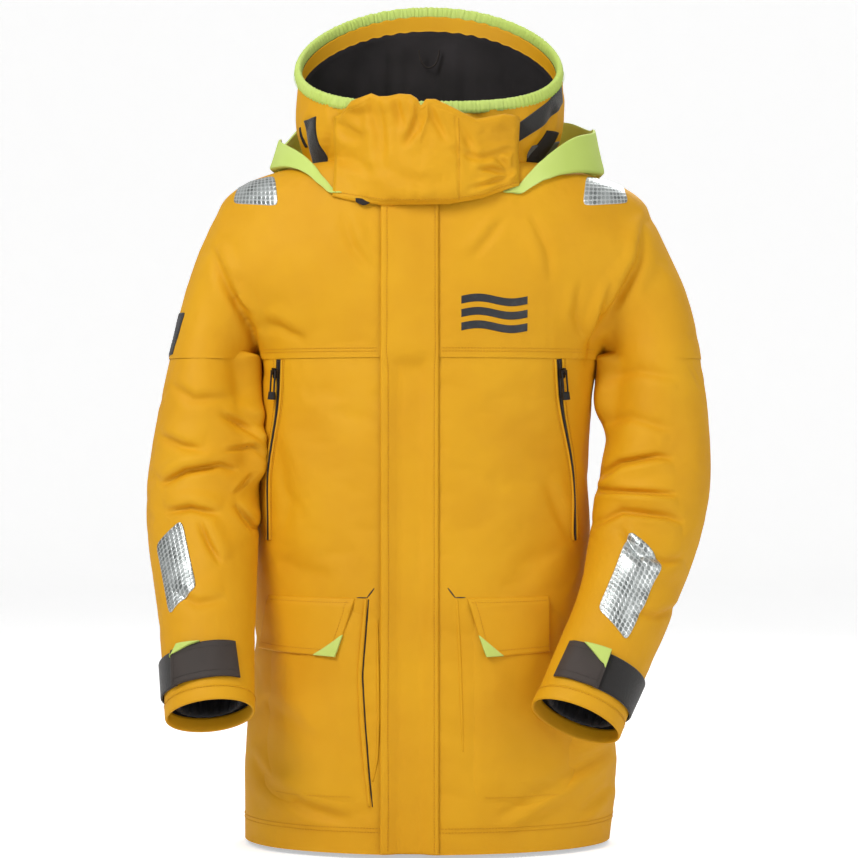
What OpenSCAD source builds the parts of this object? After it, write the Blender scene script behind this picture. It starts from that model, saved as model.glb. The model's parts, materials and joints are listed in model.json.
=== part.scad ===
// Foul weather jacket, standing as if worn. Front faces -Y, up is +Z, the origin
// is on the floor under the centre of the hem. Right and left are the wearer's:
// the right arm is on the -X side.

/* [Body] */
// Half width of the hem
hem_half_w = 241; // [225:1:250]
// Half width at the waist
waist_half_w = 219; // [210:1:222]
// Height of the armpits
armpit_z = 641; // [636:1:650]
// Height of the shoulder points
shoulder_z = 820; // [815:1:825]
// Half width at the shoulder points
shoulder_half_w = 286; // [280:1:292]
// Height of the neck seam
neck_z = 884; // [880:1:890]
// Half width of the neck seam
neck_half_w = 160; // [152:1:168]
// Height of the yoke seam
yoke_z = 631; // [624:1:634]
// Front depth at the hem, from the centre plane
hem_front = 158; // [150:1:165]
// Front depth lost per millimetre of height
front_lean = 0.034; // [0.02:0.002:0.04]
// Thickness of the shell fabric
shell_t = 2.5; // [2:0.1:3]
// Gap between neighbouring panels
seam_gap = 1.2; // [1:0.1:2]

/* [Collar and hood] */
// Height of the collar's top edge at the back
collar_back_z = 1105; // [1090:1:1110]
// Height of the collar's top edge at the front
collar_front_z = 946; // [940:1:965]
// How early the top edge falls from the back towards the sides
collar_slope = 1.35; // [1:0.05:1.6]
// Half width of the collar
collar_half_w = 173; // [168:1:176]
// Half depth of the collar
collar_half_d = 120; // [116:1:124]
// Radius of the stowed hood about the neck axis
hood_r = 258; // [256:1:266]

/* [Sleeves] */
// Half depth of the armhole, front to back
armhole_half_d = 84; // [80:1:86]
// Half width of the sleeve at the elbow
elbow_half_w = 72; // [68:1:73]
// Half width of the sleeve at the cuff
cuff_half_w = 56; // [52:1:58]
// Half angle of the open wedge at the front of the elbow, in degrees
elbow_wedge = 32; // [30:1:36]

/* [Front closure] */
// Centre line of the main zip, from the middle plane
zip_x = -24; // [-26:1:-22]
// Free edge of the storm flap
flap_free_x = -60; // [-64:1:-56]
// Sewn edge of the storm flap
flap_sewn_x = 12; // [10:1:16]
// Top of the storm flap
flap_top_z = 818; // [800:1:819]

/* [Pockets] */
// Top of the cargo pocket flaps
cargo_top_z = 320; // [312:1:324]
// Lower edge of the cargo pocket flaps
cargo_flap_z = 248; // [244:1:254]
// Bottom of the cargo pockets
cargo_bottom_z = 56; // [50:1:64]
// Top end of the chest zips
chest_zip_top_z = 620; // [610:1:624]
// Bottom end of the chest zips
chest_zip_bottom_z = 392; // [386:1:400]

/* [Hidden] */

fabric = [0.89, 0.66, 0.12];
bright = [0.72, 0.88, 0.35];
dark = [0.19, 0.18, 0.18];
silver = [0.62, 0.63, 0.61];
brass = [0.35, 0.33, 0.30];

section_power = 2.1;
probe = 0.004;

// ---- small maths -------------------------------------------------------------
function signed_power(v, e) = sign(v) * pow(abs(v), e);
function mix(a, b, t) = a + (b - a) * t;
function unit(v) = v / norm(v);
function span_of(p, k, i = 0) = (i >= len(p) - 2 || k <= p[i + 1][0]) ? i : span_of(p, k, i + 1);
function slope_at(p, i) =
    let (a = max(i - 1, 0), b = min(i + 1, len(p) - 1))
    (p[b][1] - p[a][1]) / (p[b][0] - p[a][0]);
// Smooth value, at key k, of a list of [key, value] stations
function along(p, k) =
    let (q = min(max(k, p[0][0]), p[len(p) - 1][0]), i = span_of(p, q))
    let (h = p[i + 1][0] - p[i][0], t = (q - p[i][0]) / h)
    p[i][1] * (2 * t ^ 3 - 3 * t ^ 2 + 1) + slope_at(p, i) * h * (t ^ 3 - 2 * t ^ 2 + t)
    + p[i + 1][1] * (3 * t ^ 2 - 2 * t ^ 3) + slope_at(p, i + 1) * h * (t ^ 3 - t ^ 2);
// A [a, b] place inside four corners: low-left, low-right, top-right, top-left
function in_quad(c, s, t) = mix(mix(c[0], c[1], s), mix(c[3], c[2], s), t);

// ---- the torso surface ---------------------------------------------------------
// Half width at the side seam, and along the armhole edge above the armpit
side_profile = [
    [0, hem_half_w], [110, hem_half_w + 4], [280, 229], [450, waist_half_w],
    [armpit_z, 223], [740, 254], [shoulder_z, shoulder_half_w], [842, 274],
    [860, 246], [876, 196], [neck_z, neck_half_w]];
middle_profile = [[0, -2], [110, 2], [450, -9], [armpit_z, 0], [shoulder_z, 7], [neck_z, 0]];
back_profile = [[0, 150], [200, 140], [420, 128], [650, 138], [800, 124], [neck_z, 113]];
armhole_mid_z = (shoulder_z + armpit_z) / 2;
armhole_half_h = (shoulder_z - armpit_z) / 2;
function armhole_y(z) =
    abs(z - armhole_mid_z) >= armhole_half_h ? 0
    : (armhole_half_d + 3) * sqrt(1 - ((z - armhole_mid_z) / armhole_half_h) ^ 2);
function front_depth(z) = hem_front - front_lean * z - max(z - 780, 0) * 0.07;
function wall_width(z, depth) =
    along(side_profile, z)
    / pow(1 - pow(min(armhole_y(z) / depth, 0.9), section_power), 1 / section_power);
function torso(u, z) =
    let (depth = sin(u) < 0 ? front_depth(z) : along(back_profile, z))
    [along(middle_profile, z) + wall_width(z, depth) * signed_power(cos(u), 2 / section_power),
     depth * signed_power(sin(u), 2 / section_power), z];
// Angle from the side seam to the armhole edge, on the front or on the back
function armhole_turn(z, depth) = asin(pow(armhole_y(z) / depth, section_power / 2));
function front_turn(z) = armhole_turn(z, front_depth(z));
function back_turn(z) = armhole_turn(z, along(back_profile, z));
// Angle of the front surface at a given x
function front_angle(x, z) =
    let (r = (x - along(middle_profile, z)) / wall_width(z, front_depth(z)))
    360 - acos(signed_power(r, section_power / 2));
function front_xz(p) = torso(front_angle(p.x, p.y), p.y);
// How far forward the front surface lies at x and z, or 0 beside and above it
function front_y(x, z) =
    let (r = abs(x - along(middle_profile, z)) / wall_width(z, front_depth(z)))
    z >= neck_z || r >= 1 ? 0 : -front_depth(z) * pow(1 - pow(r, section_power), 1 / section_power);

// ---- the collar surface ----------------------------------------------------------
collar_rise = collar_back_z - collar_front_z;
function collar_top(u) = collar_front_z + collar_rise * pow((1 + sin(u)) / 2, collar_slope);
binding_r = 6;
// Share of the collar's height below the binding
function collar_edge(u) = 1 - (binding_r + 0.7) / (collar_top(u) - neck_z - 3);
function collar(u, t) =
    let (w = along([[0, neck_half_w + 2], [0.4, collar_half_w + 2], [1, collar_half_w]], t))
    let (d = along([[0, collar_half_d - 5], [0.4, collar_half_d + 3], [1, collar_half_d]], t))
    [w * cos(u), d * sin(u), mix(neck_z + 3, collar_top(u), t)];

// ---- the sleeve surfaces -----------------------------------------------------------
// Stations from armhole (0) over elbow (0.5) to cuff (1): centre, outer and front half axes
right_arm = [
    [0, [[-252, 0, 730.5], [-30, 0, 86.5], [0, 3 - armhole_half_d, 0]]],
    [0.15, [[-281, -4, 663], [-40, 0, 51], [0, -81, 6]]],
    [0.3, [[-291, -20, 574], [-55, 0, 26], [0, -79, 12]]],
    [0.5, [[-294, -48, 445], [-elbow_half_w, 0, 2], [0, -71, 22]]],
    [0.75, [[-283, -125, 310], [-62, 0, 0], [0, -56, 30]]],
    [1, [[-272, -200, 176], [-cuff_half_w, 0, -4], [0, -47, 27]]]];
left_arm = [
    [0, [[258, 0, 731.5], [34, 0, 86], [0, 3 - armhole_half_d, 0]]],
    [0.15, [[290, -4, 666], [49, 0, 48], [0, -81, 6]]],
    [0.3, [[300, -20, 575], [59, 0, 25], [0, -79, 12]]],
    [0.5, [[290.5, -48, 452], [elbow_half_w, 0, 2], [0, -71, 22]]],
    [0.75, [[248, -130, 312], [61, 0, -9], [3, -54, 30]]],
    [1, [[178, -212, 167], [cuff_half_w, 0, -16], [6, -46, 24]]]];
function ring(arm, turn, t) =
    let (m = along(arm, t)) m[0] + cos(turn) * m[1] + sin(turn) * m[2];
// Share of the sleeve's length cut away at the front for the bent elbow
elbow_bite = 72 * tan(elbow_wedge) / 620;
function bite(turn) = elbow_bite * max(sin(turn), 0) + 0.004;

// ---- closed sheets of fabric over a surface -------------------------------------------
function normal_of(f, s, t) =
    unit(cross(f(s + probe, t) - f(s - probe, t), f(s, t + probe) - f(s, t - probe)));
// A closed slab over f(s, t), between two heights above it. turn = -1 where s runs
// clockwise seen from outside; wrap joins the last column to the first.
module sheet(f, ns, nt, low, high, turn = 1, wrap = false) {
    g = function (s, t) f(turn < 0 ? 1 - s : s, t);
    cols = wrap ? ns : ns + 1;
    rows = nt + 1;
    last = ns - 1;
    grid = [for (i = [0:cols - 1]) for (j = [0:nt]) [g(i / ns, j / nt), normal_of(g, i / ns, j / nt)]];
    points = [for (off = [low, high]) for (p = grid) p[0] + off * p[1]];
    function id(k, i, j) = k * cols * rows + (i % cols) * rows + j;
    outer = [for (i = [0:last]) for (j = [0:nt - 1]) each [
        [id(1, i, j), id(1, i, j + 1), id(1, i + 1, j + 1)],
        [id(1, i, j), id(1, i + 1, j + 1), id(1, i + 1, j)]]];
    inner = [for (i = [0:last]) for (j = [0:nt - 1]) each [
        [id(0, i, j), id(0, i + 1, j + 1), id(0, i, j + 1)],
        [id(0, i, j), id(0, i + 1, j), id(0, i + 1, j + 1)]]];
    ends = [for (i = [0:last]) each [
        [id(1, i, 0), id(1, i + 1, 0), id(0, i + 1, 0)],
        [id(1, i, 0), id(0, i + 1, 0), id(0, i, 0)],
        [id(1, i + 1, nt), id(1, i, nt), id(0, i, nt)],
        [id(1, i + 1, nt), id(0, i, nt), id(0, i + 1, nt)]]];
    sides = wrap ? [] : [for (j = [0:nt - 1]) each [
        [id(1, 0, j + 1), id(1, 0, j), id(0, 0, j)],
        [id(1, 0, j + 1), id(0, 0, j), id(0, 0, j + 1)],
        [id(1, ns, j), id(1, ns, j + 1), id(0, ns, j + 1)],
        [id(1, ns, j), id(0, ns, j + 1), id(0, ns, j)]]];
    polyhedron(points, concat(outer, inner, ends, sides), convexity = 10);
}
// A round cord through f(s)
module cord(f, n, r, closed = false) {
    sides = 6;
    last = closed ? n - 1 : n;
    frame_at = function (s) let (d = unit(f(s + probe) - f(s - probe)), x = unit(cross(d, [0.1, 0.2, 1])))
        [x, cross(d, x)];
    points = [for (i = [0:last]) let (m = frame_at(i / n)) for (k = [0:sides - 1])
        f(i / n) + r * (cos(k * 360 / sides) * m[0] + sin(k * 360 / sides) * m[1])];
    function id(i, k) = (closed ? i % n : i) * sides + k % sides;
    walls = [for (i = [0:n - 1]) for (k = [0:sides - 1]) each [
        [id(i, k), id(i + 1, k), id(i + 1, k + 1)], [id(i, k), id(i + 1, k + 1), id(i, k + 1)]]];
    caps = closed ? [] : [[for (k = [0:sides - 1]) k], [for (k = [sides - 1:-1:0]) id(n, k)]];
    polyhedron(points, concat(walls, caps), convexity = 10);
}
// Children are placed at p with their z outwards along out and their y along up
module set_at(p, out, up) {
    z = unit(out);
    x = unit(cross(up, z));
    y = cross(z, x);
    multmatrix([[x.x, y.x, z.x, p.x], [x.y, y.y, z.y, p.y], [x.z, y.z, z.z, p.z], [0, 0, 0, 1]])
        children();
}
// A patch of the torso front between four [x, z] corners
module front_patch(c, ns, nt, low, high) {
    sheet(function (s, t) front_xz(in_quad(c, s, t)), ns, nt, low, high);
}
// A patch of a sleeve between four [turn, t] corners, the two nearer the cuff first
module sleeve_patch(arm, c, ns, nt, low, high) {
    place = function (s, t) let (q = in_quad(c, s, t)) ring(arm, q.x, q.y);
    sheet(place, ns, nt, low, high, turn = arm[0][1][0].x < 0 ? 1 : -1);
}

// ---- torso panels ---------------------------------------------------------------------
side_gap_turn = 0.25;
zip_edge = 12;
module back_panel() {
    color(fabric) sheet(
        function (s, t) torso(mix(side_gap_turn, 180 - side_gap_turn, s), mix(0, yoke_z, t)),
        22, 12, -shell_t, 0);
}
module back_yoke() {
    z_of = function (t) mix(yoke_z + seam_gap, neck_z, 1 - max(1 - t, 0) ^ 1.5);
    turn_of = function (z) max(back_turn(z), side_gap_turn);
    color(fabric) sheet(
        function (s, t) let (z = z_of(t)) torso(mix(turn_of(z), 180 - turn_of(z), s), z),
        20, 14, -shell_t, 0);
}
// One half of the front between the side seam and the main zip
module front_panel(side) {
    edge = zip_x + side * zip_edge;
    from = side > 0 ? function (z) front_angle(edge, z) : function (z) 180 + side_gap_turn;
    to = side > 0 ? function (z) 360 - side_gap_turn : function (z) front_angle(edge, z);
    color(fabric) sheet(
        function (s, t) let (z = mix(0, yoke_z, t)) torso(mix(from(z), to(z), s), z),
        13, 12, -shell_t, 0);
}
module front_yoke(side) {
    edge = zip_x + side * zip_edge;
    z_of = function (t) mix(yoke_z + seam_gap, neck_z, 1 - max(1 - t, 0) ^ 1.5);
    turn_of = function (z) max(front_turn(z), side_gap_turn);
    from = side > 0 ? function (z) front_angle(edge, z) : function (z) 180 + turn_of(z);
    to = side > 0 ? function (z) 360 - turn_of(z) : function (z) front_angle(edge, z);
    color(fabric) sheet(
        function (s, t) let (z = z_of(t)) torso(mix(from(z), to(z), s), z),
        11, 14, -shell_t, 0);
}
module right_front_panel() { front_panel(-1); }
module left_front_panel() { front_panel(1); }
module right_front_yoke() { front_yoke(-1); }
module left_front_yoke() { front_yoke(1); }
lining_low = -14;
lining_high = -12;
module body_lining() {
    color(dark) sheet(
        function (s, t) torso(360 * s, mix(22, yoke_z - 6, t)),
        36, 8, lining_low, lining_high, wrap = true);
}
hem_cord_z = 14;
hem_cord_depth = -10.5;
cord_r = 1.8;
function hem_line(s) =
    let (f = function (a, t) torso(360 * a, mix(0, yoke_z, t)), t = hem_cord_z / yoke_z)
    f(s, t) + hem_cord_depth * normal_of(f, s, t);
module hem_drawcord() {
    color(dark) cord(function (s) hem_line(s), 48, cord_r, closed = true);
}
module cord_lock(bore_r) {
    difference() {
        union() {
            rotate([90, 0, 0]) cylinder(h = 16, r = 5.2, center = true, $fn = 40);
            translate([0, -10.5, 0]) rotate([90, 0, 0]) cylinder(h = 5, r = 3.6, center = true, $fn = 40);
        }
        cylinder(h = 14, r = bore_r, center = true, $fn = 32);
    }
}
module hem_cord_locks() {
    color(dark) for (s = [0, 0.5]) {
        p = hem_line(s);
        set_at(p, hem_line(s + probe) - hem_line(s - probe), [0, 0, 1])
            translate([0, -1, 0]) cord_lock(cord_r + 1.5);
    }
}

// ---- main zip and storm flap --------------------------------------------------------------
zip_mid_depth = -6;
zip_bottom_z = 12;
zip_top_z = 778;
tooth_row_w = 2.6;
tooth_gap = 0.9;
slider_z = 768;
function zip_point(z) = front_xz([zip_x, z]) + [0, -zip_mid_depth, 0];
zip_dir = unit(zip_point(zip_top_z) - zip_point(zip_bottom_z));
zip_out = [0, -1, front_lean];
module main_zip_tapes() {
    color(dark) for (side = [-1, 1]) {
        a = zip_x + side * (tooth_gap + tooth_row_w + 0.5);
        b = zip_x + side * 26;
        front_patch([[min(a, b), zip_bottom_z], [max(a, b), zip_bottom_z],
            [max(a, b), zip_top_z], [min(a, b), zip_top_z]],
            2, 8, zip_mid_depth - 0.5, zip_mid_depth + 0.5);
    }
}
module zip_tooth_rows(length, row_w, gap, thick) {
    for (side = [-1, 1])
        translate([side * (gap + row_w / 2) - row_w / 2, 0, -thick / 2])
            cube([row_w, length, thick]);
}
module main_zip_teeth() {
    length = zip_top_z - 10 - zip_bottom_z;
    color(brass) set_at(zip_point(zip_bottom_z), zip_out, zip_dir) {
        zip_tooth_rows(length, tooth_row_w, tooth_gap, 2);
        translate([-6, -9, -2]) cube([12, 8.5, 4]);
    }
}
// Two plates joined by a web that runs between the tooth rows, with a pull tab
module zip_slider(width, length, plate_t, room, web_w) {
    for (side = [-1, 1])
        translate([0, 0, side * (room + plate_t / 2)]) intersection() {
            cube([width, length, plate_t], center = true);
            cylinder(h = plate_t, r = length * 0.52, center = true, $fn = 48);
        }
    cube([web_w, length * 0.8, 2 * room + plate_t], center = true);
}
module main_zip_slider() {
    color(brass) set_at(zip_point(slider_z), zip_out, zip_dir) {
        zip_slider(11, 15, 1.4, 1.7, 1);
        translate([0, -10, 4.4]) difference() {
            translate([-4, -14, -0.9]) cube([8, 22, 1.6]);
            translate([0, -9, 0]) cylinder(h = 6, r = 2, center = true, $fn = 32);
        }
        translate([-1.5, -5, 2.4]) cube([3, 3, 2]);
    }
}
flap_low = 6.5;
flap_high = 9;
module flap_column(x0, x1, z0, z1, ns, nt, low, high) {
    front_patch([[x0, z0], [x1, z0], [x1, z1], [x0, z1]], ns, nt, low, high);
}
module storm_flap() {
    color(fabric) flap_column(flap_free_x, flap_sewn_x, 0, flap_top_z, 5, 14, flap_low, flap_high);
}
strip_count = 5;
strip_h = 62;
strip_pitch = 150;
strip_x = [flap_free_x + 4, zip_x - zip_edge - 2];
module strip_row(low, high) {
    for (k = [0:strip_count - 1])
        let (z = 60 + k * strip_pitch)
        flap_column(strip_x[0], strip_x[1], z, z + strip_h, 2, 2, low, high);
}
module storm_flap_hooks() { color(dark) strip_row(flap_low - 2.2, flap_low - 0.4); }
module storm_flap_loops() { color(dark) strip_row(0.5, 2.2); }

// ---- chest pocket zips -----------------------------------------------------------------------
chest_zip_right = [[-205, chest_zip_bottom_z], [-194, chest_zip_top_z]];
chest_zip_left = [[186, chest_zip_bottom_z], [167, chest_zip_top_z]];
chest_zip_lift = 4.4;
function chest_normal(c, t) =
    let (f = function (s, q) front_xz(mix(c[0], c[1], q) + [8 * (s - 0.5), 0])) normal_of(f, 0.5, t);
function chest_point(c, t) = front_xz(mix(c[0], c[1], t)) + chest_zip_lift * chest_normal(c, t);
function chest_out(c) = chest_normal(c, 0.5);
function chest_dir(c) = unit(chest_point(c, 0.97) - chest_point(c, 0.03));
module chest_zip(c) {
    half = 11;
    gap = 1;
    low = 1;
    high = 2;
    color(dark) for (side = [-1, 1]) {
        shift = side > 0 ? [[gap, 0], [half, 0]] : [[-half, 0], [-gap, 0]];
        front_patch([c[0] + shift[0], c[0] + shift[1], c[1] + shift[1], c[1] + shift[0]],
            1, 8, low, high);
    }
}
module chest_slider(c) {
    color(brass) set_at(chest_point(c, 0.95), chest_out(c), chest_dir(c)) {
        translate([0, 0, 0.8]) intersection() {
            cube([9, 13, 2.4], center = true);
            cylinder(h = 4, r = 6.6, center = true, $fn = 48);
        }
        difference() {
            translate([-1.6, -2, 2]) cube([3.2, 9, 4.4]);
            translate([0, 3, 4.4]) rotate([0, 90, 0]) cylinder(h = 8, r = 1.5, center = true, $fn = 32);
        }
    }
}
puller_r = 1.2;
puller_length = 30;
module chest_puller(c) {
    color(dark) set_at(chest_point(c, 0.95), chest_out(c), chest_dir(c)) translate([0, 3, 4.4]) {
        rotate([0, 90, 0]) cylinder(h = 10, r = puller_r, center = true, $fn = 32);
        for (side = [-1, 1]) translate([side * 4, 0, 0]) rotate([90, 0, 0]) {
            cylinder(h = puller_length, r = puller_r, $fn = 32);
            sphere(r = puller_r, $fn = 24);
        }
        translate([0, -puller_length - 2, 0]) rotate([90, 0, 0])
            cylinder(h = 10, r1 = 4.6, r2 = 5.2, center = true, $fn = 36);
    }
}
module right_chest_zip() { chest_zip(chest_zip_right); }
module right_chest_zip_slider() { chest_slider(chest_zip_right); }
module right_chest_zip_puller() { chest_puller(chest_zip_right); }
module left_chest_zip() { chest_zip(chest_zip_left); }
module left_chest_zip_slider() { chest_slider(chest_zip_left); }
module left_chest_zip_puller() { chest_puller(chest_zip_left); }

// ---- cargo pockets ------------------------------------------------------------------------------
pocket_low = 1.2;
pocket_high = 13;
cargo_flap_low = 14.5;
cargo_flap_high = 17;
pocket_top_z = cargo_top_z - 6;
right_pocket = [[-207, cargo_bottom_z], [-78, cargo_bottom_z], [-80, pocket_top_z], [-196, pocket_top_z]];
left_pocket = [[54, cargo_bottom_z], [182, cargo_bottom_z], [170, pocket_top_z], [50, pocket_top_z]];
right_flap = [[-205, cargo_flap_z], [-114, cargo_flap_z], [-90, cargo_top_z], [-186, cargo_top_z]];
left_flap = [[68, cargo_flap_z], [141, cargo_flap_z], [143, cargo_top_z], [46, cargo_top_z]];
module cargo_pocket(c) { color(fabric) front_patch(c, 8, 10, pocket_low, pocket_high); }
module cargo_flap(c) { color(fabric) front_patch(c, 8, 5, cargo_flap_low, cargo_flap_high); }
module right_cargo_pocket() { cargo_pocket(right_pocket); }
module left_cargo_pocket() { cargo_pocket(left_pocket); }
module right_cargo_flap() { cargo_flap(right_flap); }
module left_cargo_flap() { cargo_flap(left_flap); }
corner_z = cargo_flap_z + 1;
corner_rise = 26;
corner_low = cargo_flap_high + 0.4;
corner_high = cargo_flap_high + 1.8;
// A triangle over the flap's lower inner corner: foot along the edge, peak up the side, tip in the corner
function flap_corner(foot, peak, tip, s, t) =
    front_xz(mix(mix([foot, corner_z], [peak, corner_z + corner_rise], s), [tip, corner_z], t * 0.95));
module right_cargo_flap_corner() {
    color(bright) sheet(
        function (s, t) flap_corner(-137, -107, -114.5, s, t), 3, 3, corner_low, corner_high, turn = -1);
}
module left_cargo_flap_corner() {
    color(bright) sheet(
        function (s, t) flap_corner(88, 58, 68.5, s, t), 3, 3, corner_low, corner_high);
}
// Both hand-warmer bags behind the front panels, and the chest pocket on the lining
bag_bottom_z = 120;
bag_top_z = 300;
bag_depths = [-9, -5];
right_bag = [[-205, bag_bottom_z], [-70, bag_bottom_z], [-72, bag_top_z], [-200, bag_top_z]];
left_bag = [[45, bag_bottom_z], [180, bag_bottom_z], [175, bag_top_z], [47, bag_top_z]];
inner_bag = [[60, 420], [160, 420], [160, 590], [60, 590]];
inner_bag_depths = [-19, -16];
module pocket_bags() {
    color(dark) {
        for (c = [right_bag, left_bag])
            front_patch(c, 6, 6, bag_depths[0], bag_depths[1]);
        front_patch(inner_bag, 5, 6, inner_bag_depths[0], inner_bag_depths[1]);
    }
}

// ---- badge and reflectors ---------------------------------------------------------------------
print_low = 0.5;
print_high = 1.3;
badge_x = [41, 125];
badge_z = 661;
badge_bar = 10;
badge_pitch = 17;
badge_wave = 3;
module chest_badge() {
    color(dark) for (k = [0:2]) {
        z = badge_z + k * badge_pitch;
        wave = function (s, t) [mix(badge_x[0], badge_x[1], s), z + badge_bar * t + badge_wave * sin(360 * s)];
        sheet(function (s, t) front_xz(wave(s, t)), 10, 1, print_low, print_high);
    }
}
shoulder_print_z = [828, 866];
function shoulder_at(u, t) = torso(u, mix(shoulder_print_z[0], shoulder_print_z[1], t));
module shoulder_reflectors() {
    color(silver) {
        sheet(function (s, t) shoulder_at(mix(mix(197, 190, t), mix(222, 219, t), s), t),
            4, 6, print_low, print_high);
        sheet(function (s, t) shoulder_at(mix(mix(314, 316, t), mix(336, 342, t), s), t),
            4, 6, print_low, print_high);
    }
}

// ---- collar ---------------------------------------------------------------------------------------
collar_t = 3;
fleece_low = -9;
fleece_high = -4.5;
module collar_shell() {
    color(fabric) sheet(
        function (s, t) collar(360 * s, t * collar_edge(360 * s)),
        40, 8, -collar_t, 0, wrap = true);
}
module collar_lining() {
    color(dark) sheet(
        function (s, t) collar(360 * s, mix(0.02, collar_edge(360 * s), t)),
        40, 6, fleece_low, fleece_high, wrap = true);
}
module collar_binding() {
    color(bright) cord(function (s) collar(360 * s, 1) + [0, 0, 1.2], 56, binding_r, closed = true);
}
strip_low = 1.2;
strip_high = 3;
guard_low = 9;
guard_high = 13;
guard_turns = [229, 307];
guard_bottom_z = 826;
guard_top_z = 948;
guard_stand = 13;
guard_belly = 10;
// A patch of the collar between four [angle, height] corners
function on_collar(a, z) =
    let (t = (z - neck_z - 3) / (collar_top(a) - neck_z - 3)) collar(a, t);
module collar_patch(c, ns, nt, low, high) {
    sheet(function (s, t) let (q = in_quad(c, s, t)) on_collar(q.x, q.y), ns, nt, low, high);
}
module face_guard() {
    color(fabric) sheet(
        function (s, t) let (a = mix(guard_turns[0], guard_turns[1], s), belly = sin(180 * s))
            let (x = collar_half_w * cos(a) * 1.02)
            let (z = mix(guard_bottom_z - 6 * belly, guard_top_z + 8 * cos(180 * s), t))
            let (y = (collar_half_d + guard_stand + guard_belly * belly * (1 - t)) * sin(a))
            [x, min(y, front_y(x, z)), z],
        16, 7, guard_low, guard_high);
}
module collar_hook_strip() {
    color(dark) collar_patch([[205, 894], [212, 894], [214, 950], [208, 952]], 2, 4, strip_low, strip_high);
}
module collar_loop_strip() {
    color(dark) collar_patch([[314, 902], [352, 964], [352, 986], [314, 924]], 9, 2, strip_low, strip_high);
}
// Tape ring at the back of the neck, round inside so that a peg fits
loop_r = 12;
loop_wall = 1.6;
loop_width = 10;
module hanger_loop() {
    color(dark) translate([0, collar_half_d - 15, 1040]) rotate([90, 0, 0])
        difference() {
            cylinder(h = loop_width, r = loop_r + loop_wall, center = true, $fn = 64);
            cylinder(h = loop_width + 2, r = loop_r, center = true, $fn = 64);
        }
}

// ---- hood, stowed behind the collar -------------------------------------------------------------------
neck_axis_z = 900;
hood_half_w = 205;
function hood_point(x, a) =
    let (r = hood_r - 60 * pow(abs(x) / hood_half_w, 4)) [x, r * cos(a), neck_axis_z + r * sin(a)];
module hood_shell() {
    color(bright) sheet(
        function (s, t) hood_point(mix(-hood_half_w, hood_half_w, s), mix(-50, 2, t)),
        16, 8, -2.5, 0, turn = -1);
}
module hood_brim() {
    color(bright) sheet(
        function (s, t) hood_point(mix(-hood_half_w, hood_half_w, s), mix(3, 12 - 6 * (2 * s - 1) ^ 2, t)),
        16, 2, -2.5, 0, turn = -1);
}
// The fixed inner side of the hood, lying on the back yoke
module hood_neck_panel() {
    color(bright) sheet(
        function (s, t) let (u = mix(55, 125, s))
            mix(collar(u, -0.02) + 12 * [cos(u), sin(u), 0.3], torso(u, 760) + 14 * [cos(u), sin(u), 0], t),
        12, 6, 0, 2.5, turn = -1);
}
// A wing from the front of the neck round to the side, standing off the collar
wing_gap = 9;
// Height of the shoulder slope over x and y, found by halving
function shoulder_height(x, y, low = 780, high = neck_z, steps = 12) =
    let (mid = (low + high) / 2, inside = y > front_y(x, mid) - wing_gap)
    steps == 0 ? low
    : inside ? shoulder_height(x, y, mid, high, steps - 1)
    : shoulder_height(x, y, low, mid, steps - 1);
module hood_wing(side, tip, side_rim, back_rim) {
    root = function (s) let (u = mix(318, 386, s)) collar(u, 0.05) + 9 * [cos(u), sin(u), 0];
    middle = mix(tip, side_rim, 0.62) + [14, -8, 2];
    rim_stations = [[0, tip], [0.5, middle], [0.8, side_rim], [1, back_rim]];
    place = function (s, t)
        let (p = mix(root(s), along(rim_stations, s), t))
        [side * p.x, p.y, max(p.z, shoulder_height(side * p.x, p.y) + wing_gap)];
    color(bright) sheet(place, 18, 8, 0, 2.5, turn = side);
}
module right_hood_wing() { hood_wing(-1, [136, -112, 838], [205, -24, 926], [196, 60, 935]); }
module left_hood_wing() { hood_wing(1, [114, -130, 812], [226, -24, 930], [200, 60, 950]); }
// Strap down the middle of the hood's back, which shortens it
module hood_adjuster() {
    color(dark) sheet(
        function (s, t) hood_point(mix(-13, 13, s), mix(-38, -8, t)),
        2, 5, 0.6, 2.2, turn = -1);
}

// ---- sleeves -------------------------------------------------------------------------------------------
elbow_t = 0.5;
module upper_sleeve(arm) {
    color(fabric) sheet(
        function (s, t) ring(arm, 360 * s, mix(0.006, elbow_t - bite(360 * s), t)),
        24, 11, -shell_t, 0, turn = arm[0][1][0].x < 0 ? -1 : 1, wrap = true);
}
module forearm(arm) {
    color(fabric) sheet(
        function (s, t) ring(arm, 360 * s, mix(elbow_t + bite(360 * s), 1, t)),
        24, 10, -shell_t, 0, turn = arm[0][1][0].x < 0 ? -1 : 1, wrap = true);
}
module inner_cuff(arm) {
    color(dark) sheet(
        function (s, t) ring(arm, 360 * s, mix(0.84, 0.985, t)),
        24, 4, -11, -8, turn = arm[0][1][0].x < 0 ? -1 : 1, wrap = true);
}
elbow_patch_area = [[-105, 0.46], [-12, 0.46], [-20, 0.2], [-95, 0.24]];
tab_area = [[40, 0.972], [132, 0.966], [132, 0.882], [40, 0.888]];
loop_area = [[-30, 0.972], [38, 0.972], [38, 0.888], [-30, 0.888]];
elbow_patch_low = 1.5;
elbow_patch_high = 2.6;
module elbow_patch(arm) {
    color(dark) sleeve_patch(arm, elbow_patch_area, 6, 8, elbow_patch_low, elbow_patch_high);
}
tab_low = 3.4;
tab_high = 5.4;
loop_high = 2.2;
tab_corner_low = 5.8;
tab_corner_high = 7;
tab_corner_area = [[38, 0.93], [66, 0.888], [66, 0.868], [34, 0.888]];
module cuff_tab(arm) { color(dark) sleeve_patch(arm, tab_area, 8, 3, tab_low, tab_high); }
module cuff_loop_strip(arm) { color(dark) sleeve_patch(arm, loop_area, 6, 3, print_low, loop_high); }
module cuff_corner(arm) {
    sleeve_patch(arm, tab_corner_area, 3, 2, tab_corner_low, tab_corner_high);
}
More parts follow.
